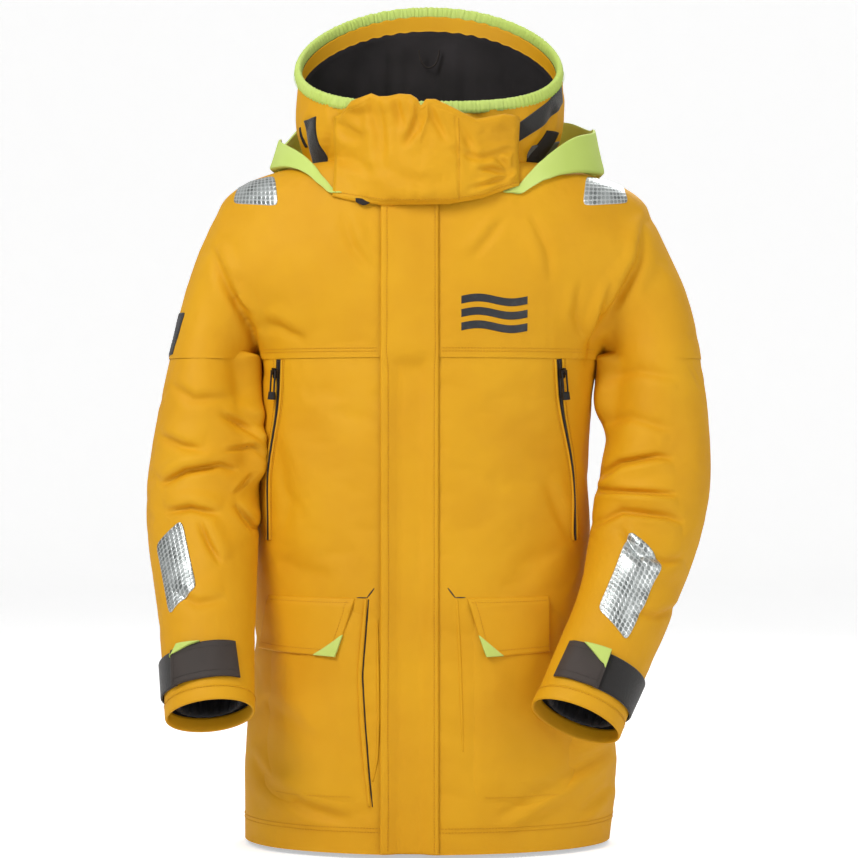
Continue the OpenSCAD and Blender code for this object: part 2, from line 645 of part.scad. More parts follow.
module forearm_reflector(arm, c) { color(silver) sleeve_patch(arm, c, 4, 5, print_low, print_high); }
module right_upper_sleeve() { upper_sleeve(right_arm); }
module left_upper_sleeve() { upper_sleeve(left_arm); }
module right_forearm() { forearm(right_arm); }
module left_forearm() { forearm(left_arm); }
module right_inner_cuff() { inner_cuff(right_arm); }
module left_inner_cuff() { inner_cuff(left_arm); }
module right_elbow_patch() { elbow_patch(right_arm); }
module left_elbow_patch() { elbow_patch(left_arm); }
module right_cuff_loop_strip() { cuff_loop_strip(right_arm); }
module left_cuff_loop_strip() { cuff_loop_strip(left_arm); }
module right_cuff_tab() { cuff_tab(right_arm); }
module left_cuff_tab() { cuff_tab(left_arm); }
module right_cuff_tab_corner() { color(bright) cuff_corner(right_arm); }
module left_cuff_tab_corner() { color(bright) cuff_corner(left_arm); }
module right_forearm_reflector() {
    forearm_reflector(right_arm, [[52, 0.765], [87, 0.725], [70, 0.575], [33, 0.61]]);
}
module left_forearm_reflector() {
    forearm_reflector(left_arm, [[72, 0.8], [116, 0.76], [100, 0.585], [62, 0.63]]);
}
label_area = [[24, 0.2], [40, 0.2], [42, 0.1], [24, 0.1]];
module sleeve_label() {
    color(dark) sleeve_patch(right_arm, label_area, 2, 3, print_low, print_high);
}

back_panel();
back_yoke();
right_front_panel();
left_front_panel();
right_front_yoke();
left_front_yoke();
body_lining();
hem_drawcord();
hem_cord_locks();
main_zip_tapes();
main_zip_teeth();
main_zip_slider();
storm_flap();
storm_flap_hooks();
storm_flap_loops();
right_chest_zip();
right_chest_zip_slider();
right_chest_zip_puller();
left_chest_zip();
left_chest_zip_slider();
left_chest_zip_puller();
right_cargo_pocket();
right_cargo_flap();
right_cargo_flap_corner();
left_cargo_pocket();
left_cargo_flap();
left_cargo_flap_corner();
pocket_bags();
chest_badge();
shoulder_reflectors();
collar_shell();
collar_lining();
collar_binding();
collar_hook_strip();
collar_loop_strip();
face_guard();
hanger_loop();
hood_shell();
hood_brim();
hood_neck_panel();
right_hood_wing();
left_hood_wing();
hood_adjuster();
right_upper_sleeve();
right_elbow_patch();
sleeve_label();
right_forearm();
right_forearm_reflector();
right_cuff_loop_strip();
right_inner_cuff();
right_cuff_tab();
right_cuff_tab_corner();
left_upper_sleeve();
left_elbow_patch();
left_forearm();
left_forearm_reflector();
left_cuff_loop_strip();
left_inner_cuff();
left_cuff_tab();
left_cuff_tab_corner();
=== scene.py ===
import json
import math

import bpy
import numpy as np
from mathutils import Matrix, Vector
from mathutils.bvhtree import BVHTree


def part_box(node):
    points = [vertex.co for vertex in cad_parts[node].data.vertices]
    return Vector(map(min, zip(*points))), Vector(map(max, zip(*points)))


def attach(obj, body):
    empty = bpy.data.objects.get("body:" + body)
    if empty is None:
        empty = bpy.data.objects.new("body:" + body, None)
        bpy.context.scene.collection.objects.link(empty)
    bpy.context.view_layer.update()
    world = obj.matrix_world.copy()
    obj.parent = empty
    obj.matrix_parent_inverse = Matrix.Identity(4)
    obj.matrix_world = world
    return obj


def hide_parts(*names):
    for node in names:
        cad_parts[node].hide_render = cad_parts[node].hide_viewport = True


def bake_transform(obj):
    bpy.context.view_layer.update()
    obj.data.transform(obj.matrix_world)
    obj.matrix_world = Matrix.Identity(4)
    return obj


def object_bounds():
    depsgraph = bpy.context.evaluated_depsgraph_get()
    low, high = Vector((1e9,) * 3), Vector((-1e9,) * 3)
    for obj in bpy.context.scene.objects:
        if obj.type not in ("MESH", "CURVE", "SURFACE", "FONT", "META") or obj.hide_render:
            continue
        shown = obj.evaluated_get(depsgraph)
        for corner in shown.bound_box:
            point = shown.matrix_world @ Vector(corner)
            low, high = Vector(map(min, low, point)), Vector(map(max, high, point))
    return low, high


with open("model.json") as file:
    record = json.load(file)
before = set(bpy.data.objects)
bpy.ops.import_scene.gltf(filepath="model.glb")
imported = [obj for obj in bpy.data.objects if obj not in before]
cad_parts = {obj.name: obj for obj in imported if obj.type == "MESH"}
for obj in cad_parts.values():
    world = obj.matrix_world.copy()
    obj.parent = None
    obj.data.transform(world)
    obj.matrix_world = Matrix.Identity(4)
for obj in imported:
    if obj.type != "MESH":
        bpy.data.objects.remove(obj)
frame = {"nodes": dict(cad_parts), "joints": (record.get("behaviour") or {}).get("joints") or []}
start_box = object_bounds()
MM = 0.001
rng = np.random.RandomState(11)

# ---- landmarks from the frame, in millimetres -------------------------------------------


def box(node):
    lo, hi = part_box(node)
    return np.array(lo) * 1000, np.array(hi) * 1000


def joint(name):
    return next(j for j in frame["joints"] if j["name"] == name)


def joint_pos(name):
    return np.array(joint(name)["pos_m"], float) * 1000


YOKE_Z = box("right_front_panel")[1][2]
NECK_Z = box("right_front_yoke")[1][2]
ARMPIT_Z = YOKE_Z + 10
HEM_W = box("back_panel")[1][0]
ELBOW = {-1: joint_pos("right_elbow"), 1: joint_pos("left_elbow")}
SHOULDER = {-1: joint_pos("right_shoulder"), 1: joint_pos("left_shoulder")}
NAME = {-1: "right", 1: "left"}

# ---- small helpers --------------------------------------------------------------------------


def unit(a):
    a = np.asarray(a, float)
    return a / (np.linalg.norm(a, axis=-1, keepdims=True) + 1e-12)


def smooth01(t):
    t = np.clip(t, 0, 1)
    return t * t * (3 - 2 * t)


def ramp(x, a, b):
    return smooth01((x - a) / (b - a))


def bump(x, centre, width):
    return np.exp(-(((x - centre) / width) ** 2))


LATTICE = rng.rand(32, 32, 32) * 2 - 1


def noise(P, size):
    """Smooth value noise in -1..1 over points P in mm, with cells of the given size."""
    q = np.asarray(P, float) / size
    i = np.floor(q).astype(int)
    f = q - i
    f = f * f * (3 - 2 * f)
    out = 0
    for dx in (0, 1):
        for dy in (0, 1):
            for dz in (0, 1):
                w = (f[..., 0] if dx else 1 - f[..., 0])
                w = w * (f[..., 1] if dy else 1 - f[..., 1])
                w = w * (f[..., 2] if dz else 1 - f[..., 2])
                out = out + w * LATTICE[(i[..., 0] + dx) % 32, (i[..., 1] + dy) % 32, (i[..., 2] + dz) % 32]
    return out


def grid_faces(nu, nv, wrap=False, base=0):
    i, j = np.meshgrid(np.arange(nu if wrap else nu - 1), np.arange(nv - 1), indexing="ij")
    a = i * nv + j
    b = ((i + 1) % nu) * nv + j
    return np.stack([a, b, b + 1, a + 1], -1).reshape(-1, 4) + base


def normals(V, F):
    F = np.asarray(F)
    n = np.cross(V[F[:, 2]] - V[F[:, 0]], V[F[:, 3]] - V[F[:, 1]])
    N = np.zeros_like(V)
    for k in range(4):
        np.add.at(N, F[:, k], n)
    return unit(N)


def relax(V, F, times, keep=None):
    """Laplacian smoothing of a quad mesh; keep is 1 where a vertex must stay."""
    F = np.asarray(F)
    e = np.concatenate([F[:, [k, (k + 1) % 4]] for k in range(4)])
    e = np.concatenate([e, e[:, ::-1]])
    count = np.bincount(e[:, 0], minlength=len(V))[:, None] + 1e-9
    free = 0.5 if keep is None else 0.5 * (1 - keep)[:, None]
    for _ in range(times):
        S = np.stack([np.bincount(e[:, 0], V[e[:, 1], k], minlength=len(V)) for k in range(3)], -1)
        V = V + free * (S / count - V)
    return V


def edges_of(F):
    """Boundary edges, in face order, of a quad array."""
    F = np.asarray(F)
    e = np.concatenate([F[:, [k, (k + 1) % 4]] for k in range(4)])
    key = np.sort(e, axis=1)
    _, back, count = np.unique(key, axis=0, return_inverse=True, return_counts=True)
    return e[count[back.ravel()] == 1]


def add_mesh(name, V, F, mats, smooth=True, N=None, index=None):
    me = bpy.data.meshes.new(name)
    me.from_pydata((np.asarray(V) * MM).tolist(), [], [list(map(int, f)) for f in F])
    for m in mats if isinstance(mats, (list, tuple)) else [mats]:
        me.materials.append(m)
    if index is not None:
        me.polygons.foreach_set("material_index", np.asarray(index, np.int32))
    me.polygons.foreach_set("use_smooth", np.full(len(me.polygons), smooth))
    me.update()
    if N is not None:
        me.normals_split_custom_set_from_vertices(N.tolist())
    o = bpy.data.objects.new(name, me)
    bpy.context.collection.objects.link(o)
    return o


def dress(o, body, slot, *nodes):
    if body:
        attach(o, body)
    if nodes:
        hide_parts(*nodes)
    return o


def thick(name, V, F, t, mat, inner_mat=None, N=None):
    """A closed shell: V, F is the outer skin and the inner one lies t inwards."""
    F = np.asarray(F)
    if N is None:
        N = normals(V, F)
    used = np.unique(F)
    index = np.full(len(V), -1)
    index[used] = np.arange(len(used))
    V, N, F = V[used], N[used], index[F]
    n = len(V)
    rim = edges_of(F)
    sides = np.stack([rim[:, 1], rim[:, 0], rim[:, 0] + n, rim[:, 1] + n], -1)
    faces = np.concatenate([F, F[:, ::-1] + n, sides])
    verts = np.concatenate([V, V - N * (t if np.isscalar(t) else t[used][:, None])])
    mats = [mat, inner_mat or mat]
    which = np.concatenate([np.zeros(len(F)), np.ones(len(F)), np.zeros(len(sides))]).astype(int)
    return add_mesh(name, verts, faces, mats, N=np.concatenate([N, -N]), index=which)


def evaluated(o):
    e = o.evaluated_get(bpy.context.evaluated_depsgraph_get())
    me = e.to_mesh()
    V = np.empty(len(me.vertices) * 3)
    me.vertices.foreach_get("co", V)
    F = np.array([p.vertices[:] for p in me.polygons if len(p.vertices) == 4])
    e.to_mesh_clear()
    return V.reshape(-1, 3) * 1000, F


def drop(o):
    me = o.data
    bpy.data.objects.remove(o)
    bpy.data.meshes.remove(me)


def remesh(V, F, size, smoothing):
    o = add_mesh("tmp", V, F, [])
    m = o.modifiers.new("remesh", "REMESH")
    m.mode = "VOXEL"
    m.voxel_size = size * MM
    W, G = evaluated(o)
    drop(o)
    return relax(W, G, smoothing), G


def finer(V, F):
    """One level of subdivision."""
    o = add_mesh("tmp", V, F, [])
    m = o.modifiers.new("finer", "SUBSURF")
    m.levels = 1
    m.boundary_smooth = "PRESERVE_CORNERS"
    W, G = evaluated(o)
    drop(o)
    return W, G


def drape(V, F, pin, grow=0.02, pressure=4.0, frames=14, cap=12, bend=0.6, extra=None):
    """A short cloth run, no gravity. pin is 1 where the cloth is held; extra marks where it grows most."""
    o = add_mesh("tmp", V, F, [])
    for name, values in (("pin", pin), ("grow", np.ones(len(V)) if extra is None else extra)):
        g = o.vertex_groups.new(name=name)
        level = np.round(np.clip(values, 0, 1) * 8).astype(int)
        for k in range(1, 9):
            g.add(np.flatnonzero(level == k).tolist(), k / 8, "REPLACE")
    m = o.modifiers.new("cloth", "CLOTH")
    s = m.settings
    s.quality = 4
    s.mass = 0.25
    s.tension_stiffness = s.compression_stiffness = 25
    s.shear_stiffness = 12
    s.bending_stiffness = bend
    s.tension_damping = s.compression_damping = 8
    s.bending_damping = 1.5
    s.air_damping = 2
    s.vertex_group_mass = "pin"
    s.use_pressure = True
    s.uniform_pressure_force = pressure
    s.effector_weights.gravity = 0
    s.shrink_min = -grow * 0.15
    s.shrink_max = -grow
    s.vertex_group_shrink = "grow"
    m.collision_settings.use_collision = False
    m.collision_settings.use_self_collision = False
    m.point_cache.frame_start = 1
    m.point_cache.frame_end = frames
    scene = bpy.context.scene
    for f in range(1, frames + 1):
        scene.frame_set(f)
    W, _ = evaluated(o)
    drop(o)
    scene.frame_set(1)
    move = W - V
    far = np.linalg.norm(move, axis=1, keepdims=True) + 1e-9
    return V + move * (cap * np.tanh(far / cap) / far)


def tree_of(V, F):
    return BVHTree.FromPolygons(V.tolist(), np.asarray(F).tolist())


def node_tree(*names):
    verts, faces = [], []
    for n in names:
        me = frame["nodes"][n].data
        base = len(verts)
        verts += [(v.co * 1000)[:] for v in me.vertices]
        faces += [[base + i for i in p.vertices] for p in me.polygons]
    return BVHTree.FromPolygons(verts, faces)


def cast(tree, start, way, reach):
    hit = tree.ray_cast(Vector(start), Vector(way), reach)
    return None if hit[0] is None else np.array(hit[0])


def fill(values, wrap):
    """Fills None gaps of a list of radii by linear interpolation."""
    n = len(values)
    good = [k for k in range(n) if values[k] is not None]
    return np.interp(np.arange(n), good, [values[k] for k in good], period=n if wrap else None)


# ---- torso and sleeve skins from the CAD shells ------------------------------------------------
torso_tree = node_tree("back_panel", "back_yoke", "right_front_panel", "left_front_panel",
                       "right_front_yoke", "left_front_yoke")


sleeve_tree = node_tree("right_upper_sleeve", "left_upper_sleeve")


def torso_ring(z, n, cap_z=1e9):
    """Outer surface of the torso at a height, as n points from the side seam round. Above cap_z
    the armholes are closed by the tops of the sleeves."""
    radii = []
    turns = np.arange(n) * 2 * math.pi / n
    for u in turns:
        d = np.array([math.cos(u), math.sin(u), 0])
        p = cast(torso_tree, np.array([0, 0, z]) + d * 600, -d, 590)
        if p is None and z > cap_z:
            p = cast(sleeve_tree, np.array([0, 0, z]) + d * 600, -d, 590)
        radii.append(None if p is None else float(np.dot(p, d)))
    r = fill(radii, True)
    return np.stack([r * np.cos(turns), r * np.sin(turns), np.full(n, z)], -1)


def even(ring):
    """The same closed ring with points at even steps along it, starting at the same point."""
    closed = np.vstack([ring, ring[:1]])
    s = np.concatenate([[0], np.cumsum(np.linalg.norm(np.diff(closed, axis=0), axis=1))])
    t = np.linspace(0, s[-1], len(ring) + 1)[:-1]
    return np.stack([np.interp(t, s, closed[:, k]) for k in range(3)], -1)


def sleeve_axis(side):
    """Centre line from the armhole over the elbow to the cuff, as a function of 0..1 and its length."""
    lo, hi = box(NAME[side] + "_upper_sleeve")
    top = np.array([SHOULDER[side][0] - side * 30, 0, SHOULDER[side][2] - 83])
    e = ELBOW[side]
    inner_lo, inner_hi = box(NAME[side] + "_inner_cuff")
    mid = (inner_lo + inner_hi) / 2
    end = e + (mid - e) * 1.2
    upper = top + (e - top) * 0.5 + np.array([side * 14, 16, 0])
    lower = e + (end - e) * 0.5 + np.array([side * 8, -4, 0])
    P = np.array([top, upper, e, lower, end])
    k = np.concatenate([[0], np.cumsum(np.linalg.norm(np.diff(P, axis=0), axis=1))])
    k = k / k[-1]
    t = np.linspace(0, 1, 400)
    Q = np.stack([np.interp(t, k, P[:, c]) for c in range(3)], -1)
    for _ in range(1500):
        Q[1:-1] = 0.5 * Q[1:-1] + 0.25 * (Q[:-2] + Q[2:])
    return t, Q


def sleeve_rings(side, ts, n):
    """Rings of the sleeve's outer surface, from turn 0 (outer side) round by the front."""
    tree = node_tree(NAME[side] + "_upper_sleeve", NAME[side] + "_forearm")
    t, Q = sleeve_axis(side)
    turns = np.arange(n) * 2 * math.pi / n
    R = np.full((len(ts), n), np.nan)
    C, D = [], []
    for i, a in enumerate(ts):
        c = np.array([np.interp(a, t, Q[:, k]) for k in range(3)])
        d = unit(np.array([np.interp(a + 0.02, t, Q[:, k])
                           - np.interp(a - 0.02, t, Q[:, k]) for k in range(3)]))
        out = unit(np.array([side, 0, 0]) - d * d[0] * side)
        front = unit(np.cross(d, out) * side)
        front = front if front[1] < 0 else -front
        ways = np.cos(turns)[:, None] * out + np.sin(turns)[:, None] * front
        C.append(c)
        D.append(ways)
        for j in range(n):
            p = cast(tree, c + ways[j] * 160, -ways[j], 155)
            if p is not None:
                R[i, j] = np.dot(p - c, ways[j])
    ok = np.isfinite(R).mean(1) > 0.55
    last = np.flatnonzero(ok)[-1]
    for j in range(n):
        col = R[:, j]
        good = np.isfinite(col)
        R[:, j] = np.interp(np.arange(len(ts)), np.flatnonzero(good), col[good])
    P = np.array(C)[:, None, :] + np.array(D) * R[..., None]
    return P[:last + 1], np.array(C)[:last + 1]


# The lower body: an even grid from the hem to just under the yoke seam
body_cols = 210
body_rows = np.concatenate([[0, 1.5], np.arange(7, YOKE_Z, 6.4), [YOKE_Z + 4]])
body_rows = body_rows[(body_rows < YOKE_Z - 2) | (body_rows > YOKE_Z + 3)]
rings = [even(torso_ring(min(z + 0.3, YOKE_Z - 0.4) if z < YOKE_Z else YOKE_Z + 3,
                         body_cols)) for z in body_rows]
for ring, z in zip(rings, body_rows):
    ring[:, 2] = z
BODY = np.array(rings).transpose(1, 0, 2)
body_shape = BODY.shape[:2]
body_V = BODY.reshape(-1, 3).copy()
body_F = grid_faces(*body_shape, wrap=True)

# The sleeves: rings from the armhole to the cuff
SL = {}
for side in (-1, 1):
    SL[side] = sleeve_rings(side, np.linspace(0.0, 1.0, 100), 72)

# The yoke with the tops of the sleeves: one skin round both
zs = np.concatenate([np.arange(YOKE_Z - 24, NECK_Z - 60, 8),
                     NECK_Z - 60 * (np.linspace(1, 0, 16) ** 1.6)[:-1], [NECK_Z - 0.5]])
zs = np.where(abs(zs - YOKE_Z) < 2, YOKE_Z + 2, zs)
tube = np.array([torso_ring(z, 160, SHOULDER[-1][2] - 76) for z in zs]).transpose(1, 0, 2)


def closed_solid(G):
    """Vertices and quads of a tube G (ring point, step) with both ends capped by narrowing rings."""
    nu, nv, _ = G.shape
    low, high = G[:, 0].mean(0), G[:, -1].mean(0)
    steps = [low + (G[:, 0] - low) * k for k in (0.02, 0.5)] + [G[:, j] for j in range(nv)]
    steps += [high + (G[:, -1] - high) * k for k in (0.5, 0.02)]
    A = np.array(steps).transpose(1, 0, 2)
    F = grid_faces(nu, A.shape[1], wrap=True)
    V = A.reshape(-1, 3)
    nv2 = A.shape[1]
    caps = []
    for j, order in ((0, -1), (nv2 - 1, 1)):
        c = [i * nv2 + j for i in range(nu)]
        for k in range(1, nu // 2):
            q = [c[k - 1], c[k], c[nu - k - 1], c[nu - k]]
            caps.append(q[::order])
    return V, np.concatenate([F, np.array(caps)])


V, F = closed_solid(tube)
parts_V, parts_F, base = [V], [F], len(V)
for side in (-1, 1):
    rings_, centres = SL[side]
    stop = int(np.argmax(centres[:, 2] < YOKE_Z - 40))
    G = rings_[:stop]
    inward = np.array([-side * 45, 0, 18.0])
    first = [G[0] * [1, 0.8, 1] + inward * k - (G[0] - centres[0]) * 0.25 * k for k in (1.0, 0.5)]
    G = np.concatenate([np.array(first), G]).transpose(1, 0, 2)
    if side < 0:
        G = G[::-1]
    G = G[:, ::-1]
    V, F = closed_solid(G)
    parts_V.append(V)
    parts_F.append(F + base)
    base += len(V)
yoke_V, yoke_F = remesh(np.concatenate(parts_V), np.concatenate(parts_F), 6.0, 6)

# ---- folds -------------------------------------------------------------------------------------------


def near_line(Q, line):
    """Signed distance of 2-D points from a line of points, and how far along it they lie, 0 to 1."""
    line = np.asarray(line, float)
    total = np.linalg.norm(np.diff(line, axis=0), axis=1).sum()
    best = np.full(len(Q), 1e9)
    signed = np.zeros(len(Q))
    along = np.zeros(len(Q))
    done = 0.0
    for a, b in zip(line[:-1], line[1:]):
        d = b - a
        length = np.linalg.norm(d)
        t = np.clip((Q - a) @ d / length ** 2, 0, 1)
        v = Q - (a + t[:, None] * d)
        r = np.linalg.norm(v, axis=1)
        closer = r < best
        best = np.where(closer, r, best)
        signed = np.where(closer, r * np.sign(d[0] * v[:, 1] - d[1] * v[:, 0] + 1e-9), signed)
        along = np.where(closer, (done + t * length) / total, along)
        done += length
    return signed, along


def crease(Q, line, width, depth):
    """Height change for a fold: a narrow valley with a high side and a low side."""
    r, k = near_line(Q, line)
    ends = np.clip(4 * k * (1 - k), 0, 1) ** 0.7
    shape = -np.exp(-((r / (0.42 * width)) ** 2)) + 0.85 * np.exp(
            -(((r - 0.95 * width) / (0.75 * width)) ** 2))
    return depth * ends * (shape + 0.3 * np.exp(-(((r + 1.1 * width) / (0.9 * width)) ** 2)))


def folds(V, N, lines, face=-1):
    """Moves V along N by creases given as (points in x and z, width, depth), on the front or the back."""
    Q = V[:, [0, 2]]
    mask = np.clip(N[:, 1] * face * 2.2 + 0.35, 0, 1)
    lift = np.zeros(len(V))
    for line, width, depth in lines:
        lift += crease(Q, line, width, depth)
    return V + N * (lift * mask)[:, None]


def from_point(x, z, steps):
    return [(x + dx, z + dz) for dx, dz in steps]


arm_x = HEM_W - 20
torso_folds = [
    (from_point(-arm_x, ARMPIT_Z, [(-54, 132), (-31, 76), (-3, 25), (10, -40)]), 13, 9),
    (from_point(-arm_x, ARMPIT_Z, [(-34, 84), (-16, 60), (4, 40)]), 9, 5),
    (from_point(-arm_x, ARMPIT_Z, [(2, 34), (34, 26), (72, 8)]), 15, 5),
    (from_point(arm_x, ARMPIT_Z, [(54, 172), (43, 112), (10, 54), (-16, 12), (-24, -28)]), -13, 9),
    (from_point(arm_x, ARMPIT_Z, [(8, 88), (-8, 44), (-18, 6)]), -9, 6),
    (from_point(arm_x, ARMPIT_Z, [(-34, 86), (-40, 40), (-24, 2)]), -10, 4),
    (from_point(0, NECK_Z, [(-110, -70), (-98, -112), (-70, -152)]), 13, 5),
    (from_point(0, NECK_Z, [(96, -78), (70, -112), (52, -132)]), -11, 4.5),
    (from_point(0, NECK_Z, [(128, -70), (150, -120), (156, -160)]), -12, 4),
    (from_point(arm_x, 420, [(-78, 55), (-60, 10), (-42, -32)]), 15, 5),
    (from_point(-arm_x, 420, [(30, 110), (46, 20), (40, -60)]), 22, 4),
    (from_point(-HEM_W, 0, [(12, 118), (40, 82), (90, 56), (150, 40)]), 15, 8),
    (from_point(HEM_W, 0, [(-166, 42), (-100, 80), (-42, 108), (-6, 122)]), -15, 8),
    (from_point(HEM_W, 0, [(-60, 40), (-24, 66), (0, 74)]), -12, 5),
    (from_point(-HEM_W, 0, [(30, 190), (70, 170), (116, 128)]), 18, 4),
    (from_point(HEM_W, 0, [(-110, 196), (-84, 150), (-40, 130)]), 18, 4),
]
back_folds = [
    (from_point(-arm_x, ARMPIT_Z, [(-40, 110), (-10, 50), (20, 0)]), 15, 9),
    (from_point(arm_x, ARMPIT_Z, [(40, 110), (10, 50), (-20, 0)]), -15, 9),
    (from_point(0, 420, [(-190, 60), (-90, 20), (-30, 26)]), 20, 7),
    (from_point(0, 400, [(190, 70), (100, 30), (20, 40)]), -20, 7),
    (from_point(0, 320, [(-180, 30), (-60, -10), (60, 0)]), 22, 6),
    (from_point(0, 330, [(60, 30), (130, -20), (200, -20)]), 22, 6),
    (from_point(0, 180, [(-170, 30), (-110, -60), (-90, -120)]), 18, 6),
    (from_point(0, 180, [(170, 30), (120, -50), (96, -130)]), 18, 6),
    (from_point(0, ARMPIT_Z, [(-120, 120), (-90, 40), (-84, -60)]), 20, 5),
    (from_point(0, ARMPIT_Z, [(120, 120), (96, 40), (90, -60)]), -20, 5),
]
sleeve_folds = {
    -1: [([(-50, 20), (-17, 39), (26, 46), (48, 38)], 13, 9), ([(30, 64), (66, 70), (88, 50)], 10, 8),
         ([(26, 112), (66, 88), (88, 72)], 13, 9), ([(-44, -14), (-9, -8), (28, -16)], 13, 7),
         ([(2, -24), (17, -54), (32, -78)], 12, 6), ([(44, 8), (68, 36)], 9, 6),
         ([(46, -4), (68, -34), (86, -42)], 10, 7), ([(-56, 84), (-20, 70), (6, 66)], 16, 5),
         ([(-40, 150), (-8, 130), (40, 132)], 18, 4), ([(-28, -110), (4, -126), (40, -120)], 16, 4)],
    1: [([(-78, 16), (-44, 41), (0, 50), (22, 48)], -13, 9), ([(-80, 6), (-28, 4), (26, 2)], -11, 8),
        ([(-86, -42), (-44, -20), (10, -26), (34, -34)], -13, 8),
        ([(-50, -40), (-30, -70), (-20, -90)], 12, 5),
        ([(-70, 90), (-30, 100), (20, 84)], -18, 5), ([(-34, -70), (8, -84), (34, -78)], -14, 5),
        ([(-60, 150), (-20, 160), (30, 150)], -20, 4), ([(-40, -140), (-8, -150), (30, -140)], 14, 4)],
}


def sleeve_lines(side):
    e = ELBOW[side]
    return [(from_point(e[0], e[2], steps), width, depth) for steps, width, depth in sleeve_folds[side]]


def soft(V, N, big, small):
    """Slow unevenness that seeds the cloth run."""
    return V + N * (big * noise(V, 85) + small * noise(V + 400, 34))[:, None]


# ---- the cloth of the body and the yoke ----------------------------------------------------------------
def zip_line(side):
    """Lowest and highest place of a chest zip in x and z."""
    lo, hi = box(NAME[side] + "_chest_zip")
    lean = 11
    if side < 0:
        return np.array([lo[0] + lean, lo[2] + 1]), np.array([hi[0] - lean, hi[2] - 1])
    return np.array([hi[0] - lean, lo[2] + 1]), np.array([lo[0] + lean, hi[2] - 1])


def held_at_zips(V):
    near = np.zeros(len(V))
    for side in (-1, 1):
        a, b = zip_line(side)
        r, _ = near_line(V[:, [0, 2]], [a, b])
        near = np.maximum(near, np.exp(-((r / 16) ** 4)) * (V[:, 1] < 0))
    x = V[:, 0] + 24
    return np.maximum(near, np.exp(-((x / 26) ** 4)) * (V[:, 1] < 0))


body_N = normals(body_V, body_F)
body_V = folds(body_V, body_N, torso_folds, -1)
body_V = folds(body_V, body_N, back_folds, 1)
body_V = soft(body_V, body_N, 1.6, 0.5)
z = body_V[:, 2]
hem_hold = np.maximum(1 - ramp(z, 4, 40), ramp(z, YOKE_Z - 22, YOKE_Z - 4))
body_pin = np.maximum(hem_hold, 0.9 * held_at_zips(body_V))
grow_more = np.clip(bump(abs(body_V[:, 0]), HEM_W, 90) + 0.4 * (body_V[:, 1] > 0), 0, 1)
body_V = drape(body_V, body_F, body_pin, grow=0.022, pressure=3.5, cap=9, bend=1.5, extra=grow_more)
body_V, body_F = finer(body_V, body_F)
# leave room for the main slider's lane behind the storm flap; it leans back as it goes down
LANE_SLOPE = 0.0339
s_lo, s_hi = box("main_zip_slider")
lane = ramp(-abs(body_V[:, 0] - (s_lo[0] + s_hi[0]) / 2), -30,
            -16) * (body_V[:, 1] < 0) * (body_V[:, 2] < s_hi[2] + 10)
lane_y = s_hi[1] + 1.2 - LANE_SLOPE * (s_hi[2] - body_V[:, 2])
body_V[:, 1] += lane * np.clip(lane_y - body_V[:, 1], 0, 9)

yoke_N = normals(yoke_V, yoke_F)
yoke_V = folds(yoke_V, yoke_N, torso_folds, -1)
yoke_V = folds(yoke_V, yoke_N, back_folds, 1)
yoke_V = soft(yoke_V, yoke_N, 1.5, 0.5)
z = yoke_V[:, 2]
yoke_pin = np.maximum(1 - ramp(z, YOKE_Z - 8, YOKE_Z + 22), ramp(z, NECK_Z - 24, NECK_Z - 6))
yoke_pin = np.maximum(yoke_pin, 0.9 * held_at_zips(yoke_V))
near_arm = bump(abs(yoke_V[:, 0]), arm_x + 20, 60)
yoke_V = drape(yoke_V, yoke_F, yoke_pin, grow=0.03, pressure=3.5, cap=9, bend=1.2, extra=near_arm)
yoke_low = YOKE_Z - 3
centre = yoke_V[yoke_F].mean(1)
inside_neck = (centre[:, 2] > NECK_Z - 3.0) & (np.hypot(centre[:, 0] / 150, centre[:, 1] / 105) < 1.0)
yoke_F = yoke_F[(centre[:, 2] > yoke_low + 1) & ~inside_neck]
rim = np.unique(edges_of(yoke_F))
low_rim = rim[yoke_V[rim, 2] < YOKE_Z + 20]
yoke_V[low_rim, 2] = yoke_low
yoke_V, yoke_F = finer(yoke_V, yoke_F)
yoke_N = normals(yoke_V, yoke_F)
yoke_V = yoke_V + yoke_N * (1.3 * (1 - ramp(yoke_V[:, 2], YOKE_Z + 2, YOKE_Z + 30)))[:, None]
yoke_N = normals(yoke_V, yoke_F)
body_N = normals(body_V, body_F)

